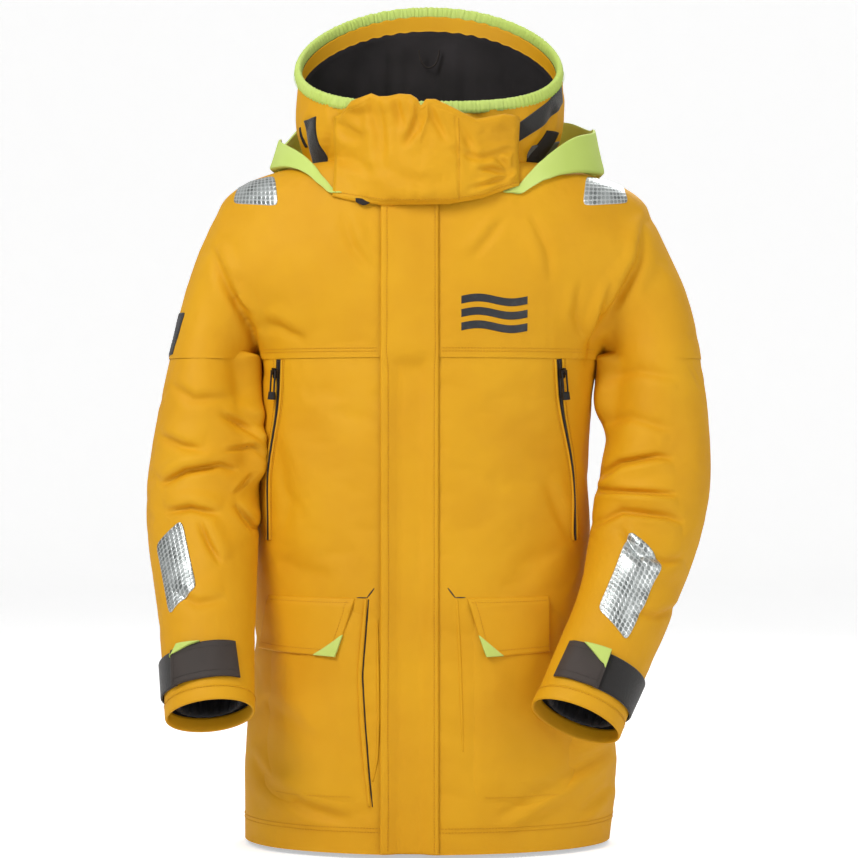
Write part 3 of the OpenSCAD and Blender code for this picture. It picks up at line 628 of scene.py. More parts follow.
# ---- the cloth of the sleeves -----------------------------------------------------------------------------
SKIN = {}
side_tree = tree_of(body_V, body_F)
for side in (-1, 1):
    rings_, centres = SL[side]
    start = int(np.argmax(centres[:, 2] < YOKE_Z + 20))
    G = rings_[start:]
    cols, rows = 92, max(60, int(len(G) * 1.15))
    at = np.linspace(0, len(G) - 1, rows)
    G = np.array([[np.interp(at, np.arange(len(G)),
                             G[:, j, k]) for k in range(3)] for j in range(G.shape[1])])
    G = G.transpose(2, 0, 1)
    G = np.array([even(r) for r in G])
    G = np.array([[np.interp(np.arange(cols) * len(r) / cols, np.arange(len(r) + 1),
                             np.append(r[:, k], r[0, k]))
                   for k in range(3)] for r in G]).transpose(0, 2, 1)
    G = G.transpose(1, 0, 2)
    flip = side < 0
    if flip:
        G = G[::-1]
    G = G[:, ::-1]
    V, F = G.reshape(-1, 3), grid_faces(G.shape[0], G.shape[1], wrap=True)
    N = normals(V, F)
    if ((V - V.mean(0)) * N).sum() < 0:
        F = F[:, ::-1]
        N = -N
    V = relax(V, F, 2)
    t_down = np.tile(np.linspace(1, 0, G.shape[1]), G.shape[0])
    V = folds(V, N, sleeve_lines(side), -1)
    behind = [(from_point(ELBOW[side][0], ELBOW[side][2], s), w, d) for s, w, d in
              [([(-60, 60), (0, 30), (60, 40)], 16, 6), ([(-60, -60), (0, -34), (60, -50)], 16, 6),
               ([(-50, 120), (10, 104), (60, 124)], 16, 5)]]
    V = folds(V, N, behind, 1)
    V = soft(V, N, 1.6, 0.6)
    pin = np.maximum(1 - ramp(t_down, 0.02, 0.12), ramp(t_down, 0.78, 0.88))
    near_elbow = bump(V[:, 2], ELBOW[side][2] + 10, 110)
    V = drape(V, F, pin, grow=0.035, pressure=3.5, cap=9, bend=0.8, extra=near_elbow)
    # the inner side of the sleeve rests against the coat
    reach_in = np.zeros(len(V))
    for k in np.flatnonzero((V[:, 2] > 470) & (V[:, 2] < YOKE_Z + 30)):
        if N[k, 0] * side < -0.2:
            p, _, _, _ = side_tree.ray_cast(Vector(V[k]), Vector((-side, 0, 0)), 40)
            if p is not None:
                reach_in[k] = abs(p[0] - V[k, 0]) - 1.5
    low_z = 520 if side > 0 else 440
    share = ramp(V[:, 2], low_z, low_z + 50) * ramp(-N[:, 0] * side, 0.25, 0.75)
    V = V - np.array([side, 0, 0]) * (np.clip(reach_in, 0, 26) * share)[:, None]
    V = relax(V, F, 6, keep=(share < 0.01) | (t_down < 0.03))
    V, F = finer(V, F)
    N = normals(V, F)
    V = folds(V, N, [(line, 0.55 * w, 0.5 * d) for line, w, d in sleeve_lines(side)], -1)
    SKIN[side] = [V, F, normals(V, F)]

# ---- materials ------------------------------------------------------------------------------------------


def linear(rgb):
    return tuple(((c / 255 + 0.055) / 1.055) ** 2.4 if c > 10 else c / 255 / 12.92 for c in rgb) + (1.0,)


class Nodes:
    """Small helper round a material's node tree."""

    def __init__(self, name):
        self.mat = bpy.data.materials.new(name)
        self.mat.use_nodes = True
        self.tree = self.mat.node_tree
        self.bsdf = self.tree.nodes["Principled BSDF"]
        self.height = None

    def add(self, kind, links=(), **settings):
        n = self.tree.nodes.new("ShaderNode" + kind)
        for k, v in settings.items():
            if hasattr(n, k):
                setattr(n, k, v)
            else:
                n.inputs[k.replace("_", " ")].default_value = v
        for target, source in links:
            self.link(source, n.inputs[target])
        return n

    def link(self, source, target):
        self.tree.links.new(source, target)

    def math(self, operation, a, b=None):
        n = self.add("Math", operation=operation)
        for k, v in ((0, a), (1, b)):
            if v is None:
                continue
            if isinstance(v, (int, float)):
                n.inputs[k].default_value = v
            else:
                self.link(v, n.inputs[k])
        return n.outputs[0]

    def place(self, uv=False):
        return self.add("TexCoord").outputs["UV" if uv else "Object"]

    def noise(self, coords, scale, detail=2.0, rough=0.5):
        n = self.add("TexNoise", [("Vector", coords)])
        n.inputs["Scale"].default_value = scale
        n.inputs["Detail"].default_value = detail
        n.inputs["Roughness"].default_value = rough
        return n.outputs["Fac"]

    def relief(self, height, strength, distance_mm):
        """Adds a bump on top of those already there."""
        b = self.add("Bump")
        b.inputs["Strength"].default_value = strength
        b.inputs["Distance"].default_value = distance_mm * MM
        self.link(height, b.inputs["Height"])
        if self.height is not None:
            self.link(self.height, b.inputs["Normal"])
        self.height = b.outputs["Normal"]
        self.link(self.height, self.bsdf.inputs["Normal"])

    def tone(self, fac, low, high, colour_a, colour_b):
        """Colour between two tones where fac runs from low to high."""
        r = self.add("MapRange")
        self.link(fac, r.inputs[0])
        r.inputs[1].default_value, r.inputs[2].default_value = low, high
        m = self.add("Mix", data_type="RGBA")
        self.link(r.outputs[0], m.inputs[0])
        for k, c in ((6, colour_a), (7, colour_b)):
            if isinstance(c, tuple):
                m.inputs[k].default_value = c
            else:
                self.link(c, m.inputs[k])
        return m.outputs[2]


def weave(n, coords, pitch_mm, strength):
    """Crossed threads as a fine relief."""
    scaled = n.add("VectorMath", [(0, coords)], operation="SCALE")
    scaled.inputs[3].default_value = 2 * math.pi / (pitch_mm * MM)
    xyz = n.add("SeparateXYZ", [(0, scaled.outputs[0])])
    a = n.math("SINE", n.math("ADD", xyz.outputs[0], xyz.outputs[1]))
    b = n.math("SINE", xyz.outputs[2])
    n.relief(n.math("MULTIPLY", a, b), strength, 0.15)


def cloth_material(name, rgb, dark_rgb, rough=0.62, sheen=0.25, pitch=1.1, fine=0.35, crumple=0.6, spec=0.3):
    n = Nodes(name)
    at = n.place()
    cloud = n.noise(at, 9, 3)
    colour = n.tone(cloud, 0.35, 0.65, linear(dark_rgb), linear(rgb))
    n.link(colour, n.bsdf.inputs["Base Color"])
    grain = n.noise(at, 900, 2, 0.6)
    n.relief(n.noise(at, 26, 4, 0.55), crumple, 1.6)
    n.relief(n.noise(at, 95, 3, 0.6), crumple * 0.45, 0.5)
    weave(n, at, pitch, fine)
    n.relief(grain, 0.25, 0.12)
    r = n.add("MapRange", [(0, n.noise(at, 40, 2))])
    r.inputs[3].default_value, r.inputs[4].default_value = rough - 0.06, rough + 0.08
    n.link(r.outputs[0], n.bsdf.inputs["Roughness"])
    n.bsdf.inputs["Specular IOR Level"].default_value = spec
    n.bsdf.inputs["Sheen Weight"].default_value = sheen
    n.bsdf.inputs["Sheen Roughness"].default_value = 0.4
    n.bsdf.inputs["Sheen Tint"].default_value = linear(rgb)
    return n.mat


shell = cloth_material("shell_fabric", (226, 166, 16), (219, 157, 12), crumple=0.55, sheen=0.12)
neon = cloth_material("bright_fabric", (206, 226, 126), (196, 218, 108), crumple=0.45, pitch=0.9)
black_tape = cloth_material("dark_fabric", (46, 40, 37), (38, 33, 31), pitch=1.6, fine=0.6, rough=0.75)
tab_cloth = cloth_material("tab_fabric", (70, 62, 58), (60, 53, 49), pitch=1.2, fine=0.4, rough=0.6)
elbow_cloth = cloth_material("elbow_fabric", (52, 46, 42), (42, 37, 34), pitch=2.2, fine=0.9, rough=0.8)
lining = cloth_material("lining_fabric", (40, 40, 43), (30, 30, 33), pitch=2.6, fine=0.8, rough=0.8)
mesh_cloth = cloth_material("mesh_cloth", (112, 116, 118), (84, 88, 92), pitch=3.2, fine=1.2, rough=0.6)
fleece = cloth_material("fleece", (50, 47, 48), (38, 36, 37), rough=0.95, sheen=0.6, pitch=0.7, fine=0.3,
                        crumple=0.7, spec=0.1)
thread = cloth_material("thread", (214, 150, 20), (200, 138, 18), pitch=0.6, fine=0.5, crumple=0)
neon_thread = cloth_material("bright_thread", (190, 222, 84), (176, 208, 70), pitch=0.6, fine=0.5, crumple=0)
thread_dark = cloth_material("thread_dark", (70, 64, 60), (56, 50, 48), pitch=0.6, fine=0.5, crumple=0)


def hook_material():
    n = Nodes("hook_and_loop")
    at = n.place()
    n.bsdf.inputs["Base Color"].default_value = linear((27, 24, 22))
    n.bsdf.inputs["Roughness"].default_value = 0.92
    n.bsdf.inputs["Sheen Weight"].default_value = 0.35
    n.relief(n.noise(at, 520, 3, 0.8), 0.9, 0.9)
    return n.mat


def reflective_material():
    """Silver film with round cells in rows, set out in millimetres along the piece."""
    n = Nodes("reflective")
    uv = n.place(uv=True)
    xyz = n.add("SeparateXYZ", [(0, uv)])
    cell = 6.4
    u = n.math("FRACT", n.math("DIVIDE", xyz.outputs[0], cell))
    v = n.math("FRACT", n.math("DIVIDE", xyz.outputs[1], cell))
    du, dv = n.math("SUBTRACT", u, 0.5), n.math("SUBTRACT", v, 0.5)
    r = n.math("SQRT", n.math("ADD", n.math("MULTIPLY", du, du), n.math("MULTIPLY", dv, dv)))
    dots = n.noise(n.place(), 60, 2)
    inner = n.tone(dots, 0.35, 0.65, linear((118, 124, 122)), linear((186, 192, 190)))
    colour = n.tone(r, 0.36, 0.46, inner, linear((214, 218, 217)))
    n.link(colour, n.bsdf.inputs["Base Color"])
    n.bsdf.inputs["Metallic"].default_value = 0.75
    n.bsdf.inputs["Roughness"].default_value = 0.34
    n.bsdf.inputs["Coat Weight"].default_value = 0.5
    n.bsdf.inputs["Coat Roughness"].default_value = 0.12
    edge = n.add("MapRange", [(0, r)])
    edge.inputs[1].default_value, edge.inputs[2].default_value = 0.34, 0.46
    n.relief(edge.outputs[0], 0.5, 0.5)
    n.relief(n.noise(n.place(), 30, 3), 0.5, 1.2)
    return n.mat


def solid_material(name, rgb, rough, metal=0.0, grain=0.2, scale=400):
    n = Nodes(name)
    at = n.place()
    base = linear(rgb)
    worn = tuple(min(1, c * 1.7 + 0.01) for c in base[:3]) + (1.0,)
    n.link(n.tone(n.noise(at, 120, 4), 0.55, 0.8, base, worn), n.bsdf.inputs["Base Color"])
    n.bsdf.inputs["Roughness"].default_value = rough
    n.bsdf.inputs["Metallic"].default_value = metal
    n.relief(n.noise(at, scale, 2), grain, 0.2)
    return n.mat


hooks = hook_material()
silver = reflective_material()
ink = solid_material("print_ink", (40, 41, 45), 0.42, grain=0.3, scale=250)
metal = solid_material("zip_metal", (52, 47, 42), 0.38, metal=0.8)
teeth_plastic = solid_material("zip_teeth", (34, 30, 28), 0.45)
plastic = solid_material("cord_lock_plastic", (30, 30, 31), 0.5, grain=0.4)
cord_mat = cloth_material("cord", (38, 36, 36), (26, 25, 25), pitch=1.4, fine=0.9, crumple=0)

CAD_LOOK = {"main_zip_slider": metal, "hem_cord_locks": plastic, "hanger_loop": black_tape}
for node_name, node_obj in frame["nodes"].items():
    look = CAD_LOOK.get(node_name, lining)
    for k in range(max(1, len(node_obj.material_slots))):
        if len(node_obj.material_slots) <= k:
            node_obj.data.materials.append(look)
        else:
            node_obj.material_slots[k].material = look

# ---- body, yoke and sleeve pieces ------
SHELL_T = 1.6
body_piece = dress(thick("body_cloth", body_V, body_F, SHELL_T, shell, lining, body_N), "torso",
                   "shell_fabric",
                   "back_panel", "right_front_panel", "left_front_panel")
split_x = 196
cx = yoke_V[yoke_F].mean(1)[:, 0]
dress(thick("yoke_cloth", yoke_V, yoke_F[abs(cx) <= split_x], SHELL_T, shell, lining, yoke_N), "torso",
      "shell_fabric", "back_yoke", "right_front_yoke", "left_front_yoke")
for side in (-1, 1):
    o = thick(NAME[side] + "_shoulder_cloth", yoke_V, yoke_F[cx * side > split_x], SHELL_T, shell, lining,
              yoke_N)
    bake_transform(o)
    V, F, N = SKIN[side]
    o = thick(NAME[side] + "_sleeve_cloth", V, F, SHELL_T, shell, lining, N)
    e = ELBOW[side]
    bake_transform(o)
    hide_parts(NAME[side] + "_upper_sleeve", NAME[side] + "_forearm")

# ---- pieces laid on the cloth ------
coat_tree = tree_of(np.concatenate([body_V, yoke_V]), np.concatenate([body_F, yoke_F + len(body_V)]))
ARM_TREE = {side: tree_of(SKIN[side][0], SKIN[side][1]) for side in (-1, 1)}


def hit(tree, start, way, reach=900):
    p, n, _, _ = tree.ray_cast(Vector(start), Vector(way), reach)
    return (None, None) if p is None else (np.array(p), np.array(n))


def steps(n, length, edge):
    """Positions 0..1 with extra ones near both ends, so that an edge can be rounded."""
    e = min(edge / max(length, 1e-6), 0.2)
    inner = np.linspace(e, 1 - e, n)
    return np.concatenate([[0, 0.12 * e, 0.45 * e], inner, [1 - 0.45 * e, 1 - 0.12 * e, 1]])


def fill_grid(P):
    """Replaces missing points by their nearest neighbours along each axis."""
    bad = np.isnan(P[..., 0])
    for _ in range(60):
        if not bad.any():
            break
        for axis in (0, 1):
            for way in (1, -1):
                Q = np.roll(P, way, axis)
                edge = [slice(None)] * 2
                edge[axis] = 0 if way == 1 else -1
                Q[tuple(edge)] = np.nan
                take = np.isnan(P[..., 0]) & ~np.isnan(Q[..., 0])
                P[take] = Q[take]
        bad = np.isnan(P[..., 0])
    return P


def soften(P, times):
    for _ in range(times):
        Q = P.copy()
        Q[1:-1] = 0.5 * P[1:-1] + 0.25 * (P[:-2] + P[2:])
        R = Q.copy()
        R[:, 1:-1] = 0.5 * Q[:, 1:-1] + 0.25 * (Q[:, :-2] + Q[:, 2:])
        P = R
    return P


def on_front(place, ss, ts, tree=None, way=(0, 1, 0), smooth=2):
    """Grid of points where rays along +Y (or -Y) meet the cloth; place(s, t) gives x and z."""
    P = np.full((len(ss), len(ts), 3), np.nan)
    for i, s in enumerate(ss):
        for j, t in enumerate(ts):
            x, z = place(s, t)
            p, _ = hit(tree or coat_tree, (x, -700 * way[1], z), way)
            if p is not None:
                P[i, j] = p
    return soften(fill_grid(P), smooth)


def quad_place(c):
    """Four corners, low-left, low-right, top-right, top-left, as a place(s, t)."""
    c = np.asarray(c, float)
    return lambda s, t: (c[0] * (1 - s) + c[1] * s) * (1 - t) + (c[3] * (1 - s) + c[2] * s) * t


def lengths(P):
    us = np.concatenate([[0], np.cumsum(np.linalg.norm(np.diff(P[:, P.shape[1] // 2], axis=0), axis=1))])
    vs = np.concatenate([[0], np.cumsum(np.linalg.norm(np.diff(P[P.shape[0] // 2], axis=0), axis=1))])
    return us, vs


def grid_normals(P, hint):
    N = unit(np.cross(np.gradient(P, axis=0), np.gradient(P, axis=1)))
    flip = (N * hint).sum() < 0
    return (-N if flip else N), flip


def slab(name, P, t, mat, lift=0.4, edge=2.5, hint=(0, -1, 0), belly=None, under=0.6, back=None,
         round_ends=True):
    """A closed piece of cloth over the grid P: t thick, with rounded edges, lift above the surface."""
    nu, nv = P.shape[:2]
    N, flip = grid_normals(P, np.asarray(hint, float))
    us, vs = lengths(P)
    d = np.minimum(np.minimum(us, us[-1] - us)[:, None], np.minimum(vs, vs[-1] - vs)[None, :])
    h = t * np.sqrt(1 - (1 - np.clip(d / edge, 0, 1)) ** 2) if round_ends else t
    up = lift if belly is None else lift + belly
    outer = P + N * (up + h)[..., None] if np.ndim(up + h) else P + N * (up + h)
    inner = P + N * (up * np.ones((nu, nv)) - under)[..., None]
    F = grid_faces(nu, nv)
    if flip:
        F = F[:, ::-1]
    n = nu * nv
    rim = edges_of(F)
    sides = np.stack([rim[:, 1], rim[:, 0], rim[:, 0] + n, rim[:, 1] + n], -1)
    V = np.concatenate([outer.reshape(-1, 3), inner.reshape(-1, 3)])
    faces = np.concatenate([F, F[:, ::-1] + n, sides])
    which = np.concatenate([np.zeros(len(F)), np.ones(len(F)), np.zeros(len(sides))]).astype(int)
    o = add_mesh(name, V, faces, [mat, back or mat], index=which)
    uv = np.stack(np.meshgrid(us, vs, indexing="ij"), -1).reshape(-1, 2)
    uv = np.concatenate([uv, uv])
    layer = o.data.uv_layers.new(name="mm")
    loops = np.empty(len(o.data.loops), int)
    o.data.loops.foreach_get("vertex_index", loops)
    layer.data.foreach_set("uv", uv[loops].ravel())
    return o


def front_slab(name, corners, t, mat, body, slot, nodes=(), n=(20, 20), **kw):
    c = np.asarray(corners, float)
    w, h = np.linalg.norm(c[1] - c[0]), np.linalg.norm(c[3] - c[0])
    P = on_front(quad_place(c), steps(n[0], w, kw.get("edge", 2.5)), steps(n[1], h, kw.get("edge", 2.5)))
    return dress(slab(name, P, t, mat, **kw), body, slot, *nodes)


def resample(P, pitch):
    s = np.concatenate([[0], np.cumsum(np.linalg.norm(np.diff(P, axis=0), axis=1))])
    at = np.arange(0, s[-1], pitch)
    return at, np.stack([np.interp(at, s, P[:, k]) for k in range(P.shape[1])], -1)


def stitches(name, rows, mat, body, pitch=4.0, length=2.9, r=0.42, lift=0.35):
    """Rows of thread stitches; each row is (points, normals) along a line on the cloth."""
    V, F, base = [], [], 0
    for points, norms in rows:
        joined = np.concatenate([points, norms], axis=1)
        _, A = resample(joined, pitch)
        s = np.concatenate([[0], np.cumsum(np.linalg.norm(np.diff(points, axis=0), axis=1))])
        at = np.arange(0, s[-1], pitch)
        B = np.stack([np.interp(at + length, s, joined[:, k]) for k in range(6)], -1)
        a, b, n = A[:, :3], B[:, :3], unit(A[:, 3:])
        d = unit(b - a)
        side = np.cross(d, n)
        for share, wide, up in ((0.0, 0.35, -0.5), (0.25, 1.0, 0.5), (0.75, 1.0, 0.5), (1.0, 0.35, -0.5)):
            c = a + (b - a) * share + n * (lift + up * r)[...,
                                                          None] if np.ndim(lift) else a + (b
                                                                  - a) * share + n * (lift + up * r)
            for k in range(5):
                g = 2 * math.pi * k / 5
                V.append(c + r * wide * (math.cos(g) * side + math.sin(g) * n))
        m = len(a)
        idx = base + np.arange(m)
        for ring in range(3):
            for k in range(5):
                q = [(ring * 5 + k) * m, (ring * 5 + (k + 1) % 5) * m, ((ring + 1) * 5 + (k + 1) % 5) * m,
                     ((ring + 1) * 5 + k) * m]
                F.append(np.stack([idx + v for v in q], -1))
        for ring, order in ((0, -1), (3, 1)):
            q = [(ring * 5 + k) * m for k in range(5)][::order]
            F.append(np.stack([idx + q[0], idx + q[1], idx + q[2], idx + q[3]], -1))
            F.append(np.stack([idx + q[0], idx + q[3], idx + q[4], idx + q[4]], -1)[:, :3])
        base += 20 * m
    V = np.concatenate(V)
    faces = []
    for f in F:
        faces += f.tolist()
    o = add_mesh(name, V, faces, mat)
    return dress(o, body, "shell_fabric")


def tube(name, P, radius, mat, closed=False, sides=10, squeeze=None, up=(0, 0, 1)):
    """A cord along P; radius may vary along it; squeeze flattens it across 'up'."""
    P = np.asarray(P, float)
    n = len(P)
    D = unit(np.roll(P, -1, 0) - np.roll(P, 1, 0)) if closed else unit(np.gradient(P, axis=0))
    X = unit(np.cross(D, np.asarray(up, float) + 1e-6))
    Y = np.cross(X, D)
    r = np.broadcast_to(radius, (n,))
    g = np.arange(sides) * 2 * math.pi / sides
    k = 1.0 if squeeze is None else squeeze
    V = P[:, None] + r[:, None,
                       None] * (np.cos(g)[None, :, None] * X[:, None] * k + np.sin(g)[None, :, None]
                                * Y[:, None])
    i, j = np.meshgrid(np.arange(n if closed else n - 1), np.arange(sides), indexing="ij")
    a, b = i * sides + j, ((i + 1) % n) * sides + j
    a2, b2 = i * sides + (j + 1) % sides, ((i + 1) % n) * sides + (j + 1) % sides
    F = np.stack([a, b, b2, a2], -1).reshape(-1, 4)[:, ::-1].tolist()
    if not closed:
        F += [list(range(sides))[::-1], [(n - 1) * sides + q for q in range(sides)]]
        F = [f[::-1] for f in F]
        F = [f[::-1] for f in F]
    return add_mesh(name, V.reshape(-1, 3), F, mat)


def path_on(tree, starts, way):
    points, norms = [], []
    for s in starts:
        p, n = hit(tree, s, way)
        if p is not None:
            points.append(p)
            norms.append(n if np.dot(n, way) < 0 else -n)
    P, N = np.array(points), np.array(norms)
    for _ in range(3):
        P[1:-1] = 0.5 * P[1:-1] + 0.25 * (P[:-2] + P[2:])
        N[1:-1] = unit(0.5 * N[1:-1] + 0.25 * (N[:-2] + N[2:]))
    return P, N


def front_path(points, count=120):
    """A line on the front of the coat through x, z points."""
    pts = np.asarray(points, float)
    s = np.concatenate([[0], np.cumsum(np.linalg.norm(np.diff(pts, axis=0), axis=1))])
    at = np.linspace(0, s[-1], count)
    return path_on(coat_tree, [(np.interp(a, s, pts[:, 0]), -700, np.interp(a, s, pts[:, 1])) for a in at],
                   (0, 1, 0))


def back_path(points, count=120):
    pts = np.asarray(points, float)
    s = np.concatenate([[0], np.cumsum(np.linalg.norm(np.diff(pts, axis=0), axis=1))])
    at = np.linspace(0, s[-1], count)
    return path_on(coat_tree, [(np.interp(a, s, pts[:, 0]), 700, np.interp(a, s, pts[:, 1])) for a in at],
                   (0, -1, 0))


# -- storm flap, its strips and the zip beneath
flap_lo, flap_hi = box("storm_flap")
x0, x1 = flap_lo[0], flap_hi[0]
ss, ts = steps(16, x1 - x0, 3), steps(150, flap_hi[2], 3)
P = on_front(lambda s, t: (x0 + (x1 - x0) * s, (flap_hi[2] + 12) * t + 0.3), ss, ts, smooth=3)
S, T = np.meshgrid(ss, ts, indexing="ij")
rise = 3.9 - 1.6 * S ** 3 + 0.7 * np.sin(T * 19) * (1 - S) + 0.5 * noise(P + 90, 60)
flap_piece = slab("storm_flap_cloth", P, 2.2, shell, lift=0.0, edge=3.0, belly=rise, under=0.4)
dress(flap_piece, "storm_flap", "shell_fabric", "storm_flap")
N, _ = grid_normals(P, (0, -1, 0))
inset = [int(np.argmin(abs(ss * (x1 - x0) - d))) for d in (6, 9, x1 - x0 - 5)]
rows = [((P + N * (rise + 2.1)[..., None])[i, 3:-3], N[i, 3:-3]) for i in inset[:1] + inset[2:]]
stitches("storm_flap_stitches", rows, thread, "storm_flap")
zip_mid = (box("main_zip_teeth")[0][0] + box("main_zip_teeth")[1][0]) / 2
for name, lo_hi, lift, body in (("storm_flap_hooks", box("storm_flap_hooks"), 2.4, "storm_flap"),
                                ("storm_flap_loops", box("storm_flap_loops"), 0.5, "torso")):
    lo, hi = lo_hi
    strip = 62
    pitch = (hi[2] - lo[2] - strip) / 4
    for k in range(5):
        c = [(lo[0] + 1, lo[2] + k * pitch), (hi[0] - 1, lo[2] + k * pitch),
             (hi[0] - 1, lo[2] + k * pitch + strip), (lo[0] + 1, lo[2] + k * pitch + strip)]
        o = front_slab(f"{name}_{k + 1}", c, 1.3, hooks, body, "dark_fabric", (name,), n=(6, 10),
                       lift=lift, edge=1.5)
for side in (-1, 1):
    lo, hi = box("main_zip_tapes")
    a, b = sorted((zip_mid + side * 3.6, zip_mid + side * 25))
    front_slab(NAME[side] + "_main_zip_tape", [(a, lo[2]), (b, lo[2]), (b, hi[2]), (a, hi[2])], 0.9,
               black_tape,
               "torso", "dark_fabric", ("main_zip_tapes",), n=(5, 90), lift=0.3, edge=1.0)
lo, hi = box("main_zip_teeth")
zt_lo, zt_hi = lo[2] + 10, hi[2]
P, N = front_path([(zip_mid, zt_lo), (zip_mid, zt_hi)], 200)
_, A = resample(np.concatenate([P, N], 1), 4.2)
V, F = [], []
for k, row in enumerate(A):
    p, n = row[:3], unit(row[3:])
    d = unit(A[min(k + 1, len(A) - 1), :3] - A[max(k - 1, 0), :3])
    w = np.cross(d, n)
    for s in (-1, 1):
        c = p + n * 1.6 + d * (2.1 if s > 0 else 0)
        b = len(V)
        for wx in (0.3, 3.4):
            for dy in (-1.0, 1.0):
                for nz in (-0.9, 1.1):
                    V.append(c + w * s * wx + d * dy * (0.75 if wx < 1 else 1) + n * nz)
        for q in ((0, 1, 3, 2), (4, 6, 7, 5), (0, 4, 5, 1), (2, 3, 7, 6), (0, 2, 6, 4), (1, 5, 7, 3)):
            F.append([b + v for v in (q if s > 0 else q[::-1])])
o = add_mesh("main_zip_chain", np.array(V), F, teeth_plastic, smooth=False)
dress(o, "torso", "zip_teeth", "main_zip_teeth")

# -- chest pockets: sunk zip between two welts, with slider and puller from the frame
for side in (-1, 1):
    a, b = zip_line(side)
    a, b = (a, b) if a[1] < b[1] else (b, a)
    q = np.linspace(0, 1, 30)
    line = a + (b + [0, 8] - a) * q[:, None]
    line[:, 0] += side * (5.5 * bump(q, 0.36, 0.26) - 3.0 * bump(q, 0.76, 0.2))
    P, N = front_path(line, 110)
    D = unit(np.gradient(P, axis=0))
    W = unit(np.cross(D, N))
    half = 2.5 + 2.6 * np.linspace(0, 1, len(P)) ** 3
    grid = np.stack([P + W * half[:, None] * k for k in np.linspace(-1, 1, 9)], 0)
    o = slab(NAME[side] + "_chest_zip_tape", grid, 0.8, black_tape, lift=0.5, edge=0.8)
    dress(o, "torso", "dark_fabric", NAME[side] + "_chest_zip")
    _, A = resample(np.concatenate([P, N], 1), 1.9)
    coil = A[:, :3] + unit(A[:, 3:]) * 1.5
    o = tube(NAME[side] + "_chest_zip_coil", coil, 1.05 + 0.3 * (np.arange(len(coil)) % 2), teeth_plastic,
             sides=8)
    dress(o, "torso", "zip_teeth")
    for k in (-1, 1):
        o = tube(f"{NAME[side]}_chest_zip_welt_{1 if k < 0 else 2}",
                 P + W * (half * k + 1.1 * k)[:, None] + N * 0.5, 1.7,
                 shell, sides=10, up=(0, -1, 0))
        dress(o, "torso", "shell_fabric")
    rows = [(P + W * (half + 5.2)[:, None] * k, N) for k in (-1, 1)]
    stitches(NAME[side] + "_chest_zip_stitches", rows, thread, "torso")
    for what in ("slider", "puller"):
        node = frame["nodes"][f"{NAME[side]}_chest_zip_{what}"]
        for k in range(len(node.material_slots)):
            node.material_slots[k].material = metal if what == "slider" else cord_mat

# -- cargo pockets with flaps and bright corners
def front_cord(name, line, mat, r, lift=0.2, body="torso"):
    Pp, Np = front_path(line, 60)
    return dress(tube(name, Pp + Np * lift, r * np.sin(np.linspace(0.25, math.pi - 0.25, len(Pp))) ** 0.4,
                      mat, sides=8,
                      up=(0, -1, 0)), body, "shell_fabric")


